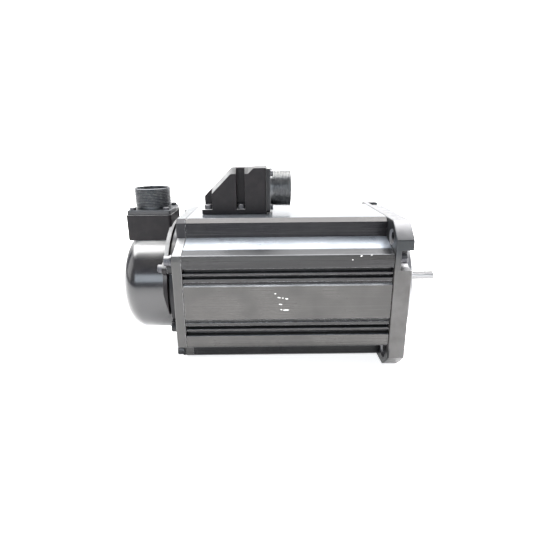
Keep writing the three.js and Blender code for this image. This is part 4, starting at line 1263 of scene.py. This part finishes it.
def output_shaft():
    rear = span("shaft")[0].x
    front_seat = FRONT_BEARING[0].x - 0.2
    rear_seat = REAR_BEARING[1].x + 0.2
    core = span("rotor_core")
    r = 4.0
    profile = [
        (rear, 0, 0), (rear, 4.0, 0.6), (-4, 4.0, 0), (-4, 7.5, 0.5), (rear_seat, 7.5, 0),
        (rear_seat, 10.1, 0.5), (core[0].x - 6, 10.1, 0.8), (core[0].x - 6, 14, 0.6),
        (core[1].x + 4, 14, 0.6), (core[1].x + 4, 12.6, 0.6), (front_seat, 12.6, 0.5),
        (front_seat, 10, 0), (FRONT_BEARING[1].x + 3, 10, 0.6), (FRONT_BEARING[1].x + 6, r, 0.6),
        (SHAFT_TIP - 0.8, r, 0.15), (SHAFT_TIP, r - 0.8, 0.15), (SHAFT_TIP, 1.3, 0.1),
        (SHAFT_TIP - 1.2, 0.6, 0), (SHAFT_TIP - 2.4, 0, 0),
    ]
    body = revolve(rounded_profile(profile, 4), 96)
    piece("output_shaft_bar", body, ["shaft"], "steel_bright", "rotor")


def oil_seal():
    start, end = SEAL[0].x, SEAL[1].x
    outer = SEAL[1].y
    lip = 4.25
    profile = [
        (start, outer, 0.3), (end, outer, 0.6), (end, outer - 1.6, 0.3),
        (end - 0.7, outer - 2.2, 0.3), (end - 0.7, lip + 2.4, 0.4), (end - 0.1, lip + 1.2, 0.3),
        (end - 0.6, lip, 0.15), (end - 2.6, lip + 1.2, 0.3), (end - 2.6, outer - 2, 0.5),
        (start + 1, outer - 2, 0.3), (start, outer - 1.2, 0.3),
    ]
    piece("oil_seal_ring", turned(profile), ["oil_seal"], "rubber_black")


# ---------------------------------------------------------------- inside


def bearing(side, ball_body):
    outer_low, outer_high = span(f"{side}_bearing_outer_ring")
    start, end = outer_low.x, outer_high.x
    outside = outer_high.y
    bore = 10.1 if side == "front" else 7.6
    depth = outside - (bore - 0.1)
    track = (start + end) / 2
    pitch = (outside + bore - 0.1) / 2
    ball = depth * 0.29
    width = end - start

    def ring(edge, lip, sign):
        half = min(width * 0.34, ball * 0.86)
        dip = pitch + sign * (ball + 0.3)
        points = [(start, edge, 0.6), (start, lip, 0.3), (track - half, lip, 0)]
        for k in range(-4, 5):
            t = k / 5
            points.append((track + half * t, dip + (lip - dip) * t * t, 0))
        points += [(track + half, lip, 0), (end, lip, 0.3), (end, edge, 0.6)]
        return turned(points)

    inner = ring(bore, bore + depth * 0.26, -1)
    outer = ring(outside, outside - depth * 0.28, 1)
    piece(f"{side}_bearing_inner_race", inner, [f"{side}_bearing_inner_ring"], "steel_bright", "rotor")
    piece(f"{side}_bearing_outer_race", outer, [f"{side}_bearing_outer_ring"], "steel_bright")
    cage = tube(pitch - depth * 0.08, pitch + depth * 0.08, track - 1.1, track + 1.1, 0.3, 96)
    pockets, balls = [], []
    for i in range(8):
        at = (math.sin(math.pi * i / 4) * pitch, math.cos(math.pi * i / 4) * pitch)
        for store, radius in ((pockets, ball + 0.12), (balls, ball)):
            body = bmesh.new()
            bmesh.ops.create_uvsphere(body, u_segments=32, v_segments=16, radius=radius)
            store.append(moved(body, (track, *at)))
    body = joined(cut(cage, *pockets), *balls)
    piece(f"{side}_bearing_ball_set", body, [f"{side}_bearing_balls"], "steel_bright", ball_body)


def stator_core():
    start, end = (corner.x for corner in span("stator_core"))
    teeth, bore, yoke = 12, 31.0, 44.5
    pitch = 360 / teeth
    tip, stem = pitch * 0.42, pitch * 0.2
    outline = []

    def polar(r, degrees, round_by):
        angle = math.radians(degrees)
        outline.append((r * math.cos(angle), r * math.sin(angle), round_by))

    for i in range(teeth):
        at = i * pitch
        polar(34, at - stem, 0.8)
        polar(33, at - tip, 0.3)
        for k in range(5):
            polar(bore, at - tip + tip * k / 2, 0)
        polar(33, at + tip, 0.3)
        polar(34, at + stem, 0.8)
        polar(yoke, at + stem * 0.75, 1.0)
        polar(yoke, at + pitch - stem * 0.75, 1.0)
    bm = prism(circle((0, 0), SPIGOT, 128), start, end, [fillet(outline, 3)], (0.15, 0.15), 1)
    piece("stator_lamination_stack", bm, ["stator_core"], "lamination")


def winding_end(node):
    """The coil ends at one side: twelve flat loops of wire, laced to a ring."""
    low, high = span(node)
    start, end = low.x, high.x
    inner, outer = 33.5, 43.5
    ring = [
        (start, inner + 1.6, 1.2), (start, outer - 1.6, 1.2), (start + 2, outer, 1.2),
        (end - 2, outer, 1.2), (end, outer - 1.6, 1.2), (end, inner + 1.6, 1.2),
        (end - 2, inner, 1.2), (start + 2, inner, 1.2),
    ]

    def bulge(radius):
        return lambda angle: radius + 0.5 * abs(math.sin(angle * 12)) * (1 if radius > 38 else -1)

    profile = [(x, bulge(r)) for x, r in rounded_profile(ring)]
    body = revolve(profile, 288, closed=True)
    centre = (start + end) / 2
    humps = []
    for i in range(12):
        section = [(centre - 5, 0, 0), (centre - 5, 3.3, 1), (centre + 5, 3.3, 1), (centre + 5, 0, 0)]
        hump = turned(section, 32, closed=False)
        moved(hump, (0, 0, outer - 1.1))
        humps.append(moved(hump, turn=(-(i + 0.5) * 30, "X")))
    piece(f"{node}_coils", union(body, *humps), [node], "winding_copper")
    laces = []
    for i in range(24):
        lace = tube(5.35, 5.8, -0.5, 0.5, 0.2, 40)
        moved(lace, turn=(90, "Z"))
        bmesh.ops.transform(lace, matrix=Matrix.Diagonal((1.33, 1, 0.94, 1)), verts=lace.verts)
        moved(lace, (centre, 0, 38.5))
        laces.append(moved(lace, turn=(i * 15 + 3, "X")))
    piece(f"{node}_lacing", joined(*laces), [node], "insert_black")


def rotor():
    core_low, core_high = span("rotor_core")
    start, end = core_low.x, core_high.x
    core = tube(14.2, core_high.y, start, end, 0.2, 96)
    piece("rotor_lamination_stack", core, ["rotor_core"], "lamination", "rotor")
    inner, outer = core_high.y + 0.3, span("magnet_ring")[1].y
    gaps = 8

    def grooved(angle):
        away = abs((angle * gaps / (2 * math.pi)) % 1 - 0.5)
        return outer - (0.7 if away > 0.475 else 0.0)

    def chamfered(angle):
        return grooved(angle) - 0.3

    profile = [(start + 0.1, inner), (start, inner + 0.2), (start, chamfered), (start + 0.4, grooved)]
    profile += [(end - 0.4, grooved), (end, chamfered), (end, inner + 0.2), (end - 0.1, inner)]
    piece("magnet_segments", revolve(profile, 320, closed=True), ["magnet_ring"], "magnet", "rotor")


def encoder_inside():
    low, high = span("encoder_hub")
    disc_low, disc_high = span("encoder_disc")
    bore, neck = 4.2, 5.6
    profile = [
        (low.x, bore, 0.3), (low.x, 7, 0.4), (disc_low.x - 0.3, 7, 0.2),
        (disc_low.x - 0.3, neck, 0), (disc_high.x + 0.3, neck, 0), (disc_high.x + 0.3, 11, 0.4),
        (high.x, 11, 0.6), (high.x, bore, 0.3),
    ]
    hub = turned(profile)
    piece("encoder_hub_collar", hub, ["encoder_hub"], "steel_bright", "rotor")
    disc = tube(6, disc_high.y, disc_low.x, disc_high.x, 0.08, 160)
    piece("encoder_disc_glass", disc, ["encoder_disc"], "disc_glass", "rotor")
    board_low, board_high = span("encoder_board")
    disc, hole = circle((0, 0), board_high.y, 128), circle((0, 0), 5, 32)
    plate = prism(disc, board_low.x, board_high.x, [hole], (0.1, 0.1), 1)
    piece("encoder_board_plate", plate, ["encoder_board"], "board_green")
    head_low, head_high = span("encoder_read_head")
    head = softened(block(head_low + Vector((0.05,) * 3), head_high - Vector((0.05,) * 3)), 0.4)
    piece("encoder_read_head_case", head, ["encoder_read_head"], "insert_black")
    base_low, base_high = span("encoder_base")
    floor = base_high.x
    floor_plate = tube(15, 42, floor - 3, floor, 0.5, 128)
    posts = []
    for i in range(3):
        post = moved(rod(3.5, base_low.x, floor - 2, 6), (0, 0, 31))
        posts.append(moved(post, turn=(60 + i * 120, "X")))
    piece("encoder_base_plate", softened(union(floor_plate, *posts), 0.25), ["encoder_base"], "box_black")


def wave_spring():
    low, high = span("wave_spring")
    centre = (low.x + high.x) / 2
    wave = high.x - centre - 0.25
    bm = tube(13.5, high.y, centre - 0.25, centre + 0.25, 0.1, 144)
    for vertex in bm.verts:
        vertex.co.x += wave * math.cos(3 * math.atan2(vertex.co.z, vertex.co.y))
    piece("wave_spring_ring", bm, ["wave_spring"], "steel_bright")


# ---------------------------------------------------------------- stage, light and camera


def stage():
    """A pale floor that curves up into a wall behind."""
    bm = bmesh.new()
    depth, radius, width, height = 1.6, 0.8, 5.0, 3.2
    floor_y, steps = -3.0, 24
    path = [(floor_y, 0.0), (depth, 0.0)]
    for i in range(1, steps + 1):
        angle = math.pi / 2 * i / steps
        path.append((depth + radius * math.sin(angle), radius * (1 - math.cos(angle))))
    path.append((depth + radius, height))
    rows = [[bm.verts.new((x, y, z)) for x in (-width, width)] for y, z in path]
    for a, b in zip(rows, rows[1:]):
        bm.faces.new((a[0], a[1], b[1], b[0]))
    mesh = bpy.data.meshes.new("floor")
    bm.to_mesh(mesh)
    bm.free()
    mesh.shade_smooth()
    r = Recipe("floor_pale", specular=0.2)
    r.shader.inputs["Emission Color"].default_value = (1.0, 1.0, 1.0, 1.0)
    r.shader.inputs["Emission Strength"].default_value = 0.78
    r.base = r.mix(r.noise(60, 3), (0.84, 0.84, 0.84), (0.88, 0.88, 0.88))
    mesh.materials.append(r.finish(0.7))
    floor = bpy.data.objects.new("floor", mesh)
    floor.location.z = cad_box[0].z - 0.0002
    bpy.context.scene.collection.objects.link(floor)


def area_light(name, place, target, size, power, color):
    light = bpy.data.lights.new(name, "AREA")
    light.shape = "RECTANGLE"
    light.size, light.size_y = size
    light.energy = power
    light.color = color
    lamp = bpy.data.objects.new(name, light)
    lamp.location = place
    lamp.rotation_euler = (Vector(target) - Vector(place)).to_track_quat("-Z", "Y").to_euler()
    lamp.visible_camera = False
    bpy.context.scene.collection.objects.link(lamp)


def lights():
    centre = (0, 0, ORIGIN.z)
    area_light("overhead", (0.0, 0.35, 1.4), centre, (3.2, 1.3), 153, (1.0, 0.99, 0.985))
    area_light("window", (-0.3, -1.7, 0.62), centre, (1.5, 0.5), 14, (0.82, 0.91, 1.0))
    area_light("left_fill", (-1.6, -0.3, 0.7), centre, (1.0, 1.0), 8, (1.0, 1.0, 1.0))
    area_light("right_fill", (1.6, -0.2, 0.6), centre, (1.0, 1.0), 8, (1.0, 1.0, 1.0))
    world = bpy.data.worlds.new("world")
    world.use_nodes = True
    background = world.node_tree.nodes["Background"]
    background.inputs["Color"].default_value = (0.95, 0.97, 1.0, 1.0)
    background.inputs["Strength"].default_value = 0.35
    bpy.context.scene.world = world


def camera():
    """The camera stands in front of the near side, a little above, and looks slightly down."""
    tilt, pan, roll = math.radians(15.75), math.radians(0.2), math.radians(-0.55)
    place = ORIGIN + Vector((75.06, -352.12, 124.72)) * MM
    ahead = Vector((math.sin(pan) * math.cos(tilt), math.cos(pan) * math.cos(tilt), -math.sin(tilt)))
    right = Vector((math.cos(pan), -math.sin(pan), 0))
    up = right.cross(ahead)
    rolled = right * math.cos(roll) + up * math.sin(roll)
    raised = up * math.cos(roll) - right * math.sin(roll)
    data = bpy.data.cameras.new("camera")
    data.sensor_width = 36
    data.lens = 25.08
    data.shift_x = 0.0143
    data.shift_y = -0.0425
    data.clip_start = 0.01
    made = bpy.data.objects.new("camera", data)
    axes = Matrix((rolled, raised, -ahead)).transposed().to_4x4()
    made.matrix_world = Matrix.Translation(place) @ axes
    bpy.context.scene.collection.objects.link(made)
    bpy.context.scene.camera = made


stator_frame()
front_flange()
rear_bracket()
frame_screws()
encoder_cover()
encoder_housing()
encoder_screws()
connectors()
power_box()
output_shaft()
oil_seal()
bearing("front", "front_balls")
bearing("rear", "rear_balls")
stator_core()
winding_end("winding_end_rear")
winding_end("winding_end_front")
rotor()
encoder_inside()
wave_spring()
stage()
lights()
camera()
bpy.context.scene.view_settings.view_transform = "Standard"
